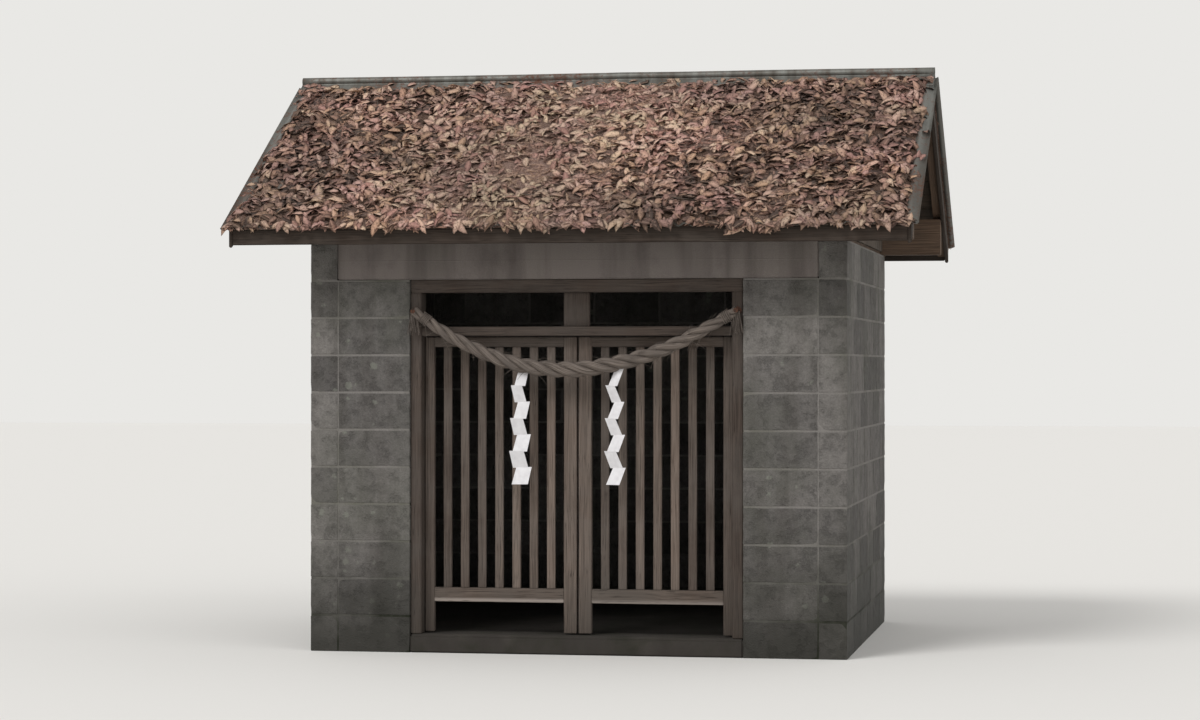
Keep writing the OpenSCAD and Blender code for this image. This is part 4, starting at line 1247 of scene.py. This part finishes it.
camellia = leaf("camellia_leaf", long=0.080, wide=0.036, fold=0.30, curl=0.40, twist=0.6)
oak = leaf("oak_leaf", long=0.112, wide=0.040, fold=0.24, curl=0.55, twist=0.9)
shoot = spray("cedar_shoot", long=0.075, pairs=20, needle=0.012)
back_share = 0.62
eave_drop = 0.075
columns, rows = 171, 85
xs = [-litter_side + 2 * litter_side * i / (columns - 1) for i in range(columns)]
ways_down = [litter_top + (litter_foot - litter_top) * j / (rows - 1) for j in range(rows)]
grid = [(x, away) for away in ways_down for x in xs]
inner = [j * columns + i for j in range(1, rows - 1) for i in range(1, columns - 1)]
for side, sign in down.items():
    # The bed is closed: below each inner point of its top lies one in the troughs
    depths = [litter_depth(x, away, sign) for x, away in grid]
    points = [on_roof(sign, x, away, trough_top + deep) for (x, away), (deep, _) in zip(grid, depths)]
    needles = [needle_share(x, away, sign) for x, away in grid]
    lay = [(x, away, 0) for x, away in grid]
    top_faces = [face if sign < 0 else face[::-1] for face in grid_faces(columns, rows)]
    leaf_cover = [leafy * (1 - 0.62 * share) for (_, leafy), share in zip(depths, needles)]
    needle_cover = [leafy * (0.05 + 0.95 * share) for (_, leafy), share in zip(depths, needles)]
    upper = new_piece(side + "_bed_top", points, top_faces, leaf_mould, leaf_cover=leaf_cover,
                      needle_cover=needle_cover, bleached=[painted_sun_and_tufts(x, away, sign) for x, away in grid])
    bed_mesh = upper.data
    bpy.data.objects.remove(upper)
    number = list(range(len(grid)))
    for n, k in enumerate(inner):
        number[k] = len(grid) + n
    under = [on_roof(sign, *grid[k], bed_foot) for k in inner]
    faces = top_faces + [tuple(number[k] for k in face[::-1]) for face in top_faces]
    bed = new_piece(side + "_leaf_bed", points + under, faces, leaf_mould,
                    needles=needles + [needles[k] for k in inner], lay=lay + [lay[k] for k in inner])
    shade_smooth(bed, 80)
    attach(bed, "shelter")
    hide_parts(side + "_roof_sheet")
    for kind, original, material, count, angle, small, large, lift, cover, seed in (
            ("camellia_leaves", camellia, camellia_brown, 820, 0.5, 0.6, 1.2, 0.016, "leaf_cover", 85),
            ("oak_leaves", oak, oak_brown, 430, 0.62, 0.5, 1.15, 0.022, "leaf_cover", 80),
            ("cedar_sprays", shoot, cedar_brown, 760, 0.26, 0.8, 1.6, 0.016, "needle_cover", 82)):
        fallen_leaves = grown(f"{side}_{kind}", scatter, bed_mesh, {
            "Leaf": original, "Leaves per square metre": count * (1.0 if sign > 0 else back_share),
            "Tilt": angle, "Smallest": small, "Largest": large, "Lift": lift, "Material": material,
            "Seed": seed + sign, "Cover": cover})
        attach(fallen_leaves, "shelter")

    # Single leaves: some hang over the cut ends of the sheets, some lie on the wing of the ridge cap
    pick = random.Random(90 + sign)
    for kind, original, material, at_eave, on_cap in (("camellia", camellia, camellia_brown, 230, 70),
                                                      ("oak", oak, oak_brown, 130, 34)):
        spots, turns, sizes = [], [], []
        for k in range(round((at_eave + on_cap) * (1.0 if sign > 0 else 0.5))):
            x, spin = pick.uniform(-litter_side, litter_side), pick.uniform(0, 2 * math.pi)
            if k < at_eave:
                x = max(x, pick.uniform(-litter_side, litter_side), key=clump)
                drop = eave_drop * clump(x) * pick.uniform(0.2, 1.0)
                away = sheet_long + pick.uniform(-0.03, 0.012) + 0.3 * drop
                spots.append(on_roof(sign, x, away, pick.uniform(0.014, 0.034) - drop))
                pitch = slope + pick.uniform(-0.1, 1.1)
            else:
                y = pick.uniform(roll_r * 1.3, wing)
                spots.append(Vector((x, -sign * y, cap_low.z + 0.011 + (wing - y) * math.tan(slope))))
                pitch = slope + pick.uniform(-0.12, 0.12)
            lying = Matrix.Rotation(sign * pitch, 3, "X") @ Matrix.Rotation(spin, 3, "Z")
            lying = lying @ Matrix.Rotation(pick.uniform(-0.2, 0.2), 3, "X")
            turns.append(tuple(lying.to_euler()))
            sizes.append((pick.uniform(0.6, 1.05),) * 3)
        single = grown(f"{side}_single_{kind}_leaves", laying, places(spots, sizes, turns),
                       {"Original": original, "Material": material, "Seed": 33 + sign})
        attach(single, "shelter")
for piece in (camellia, oak, shoot):
    bpy.data.objects.remove(piece)


# Twigs
# Bent dead sticks, 3 to 8 mm thick, which taper to one end. They have fallen on the roof and lie
# loose on the leaves.

# Twig bark: grey-brown and matt, with ridges 3 to 9 mm long, darker between them
bark, tree = new_material("grey_twig_bark")
where = add(tree, "TexCoord", out="Object")
ridge = add(tree, "TexNoise", {"Vector": where, "Scale": 110.0, "Detail": 5.0})
finish(tree, coated(tree, "#2e2621", (ridge, "#75685d")), 0.85, (ridge, 0.6, 0.001))
twig_count, twig_rings, twig_lift = 46, 9, 0.014
for side, sign in down.items():
    pick = random.Random(200 + sign)
    sticks = []
    for k in range(twig_count):
        x, away = pick.uniform(-1.6, 1.6), pick.uniform(0.2, 1.62)
        way, long = pick.uniform(0, 2 * math.pi), pick.uniform(0.12, 0.42)
        thick, sway = pick.uniform(0.0016, 0.0038), pick.uniform(-0.18, 0.18)
        line = []
        for t in np.linspace(-0.5, 0.5, twig_rings):
            bow = sway * (0.25 - t * t)
            at_x = x + long * (t * math.cos(way) - bow * math.sin(way))
            at_away = away + long * (t * math.sin(way) + bow * math.cos(way))
            at_x = min(max(at_x, -litter_side), litter_side)
            at_away = min(max(at_away, litter_top + 0.05), sheet_long - 0.02)
            height = litter_depth(at_x, at_away, sign)[0] + twig_lift
            height += 0.004 * noise.noise(Vector((at_x * 20, at_away * 20, k)))
            line.append(on_roof(sign, at_x, at_away, height))
        sticks.append(tube(line, np.linspace(thick, thick * 0.45, twig_rings), 5))
    twigs = bundle(side + "_fallen_twigs", sticks, bark)
    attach(twigs, "shelter")
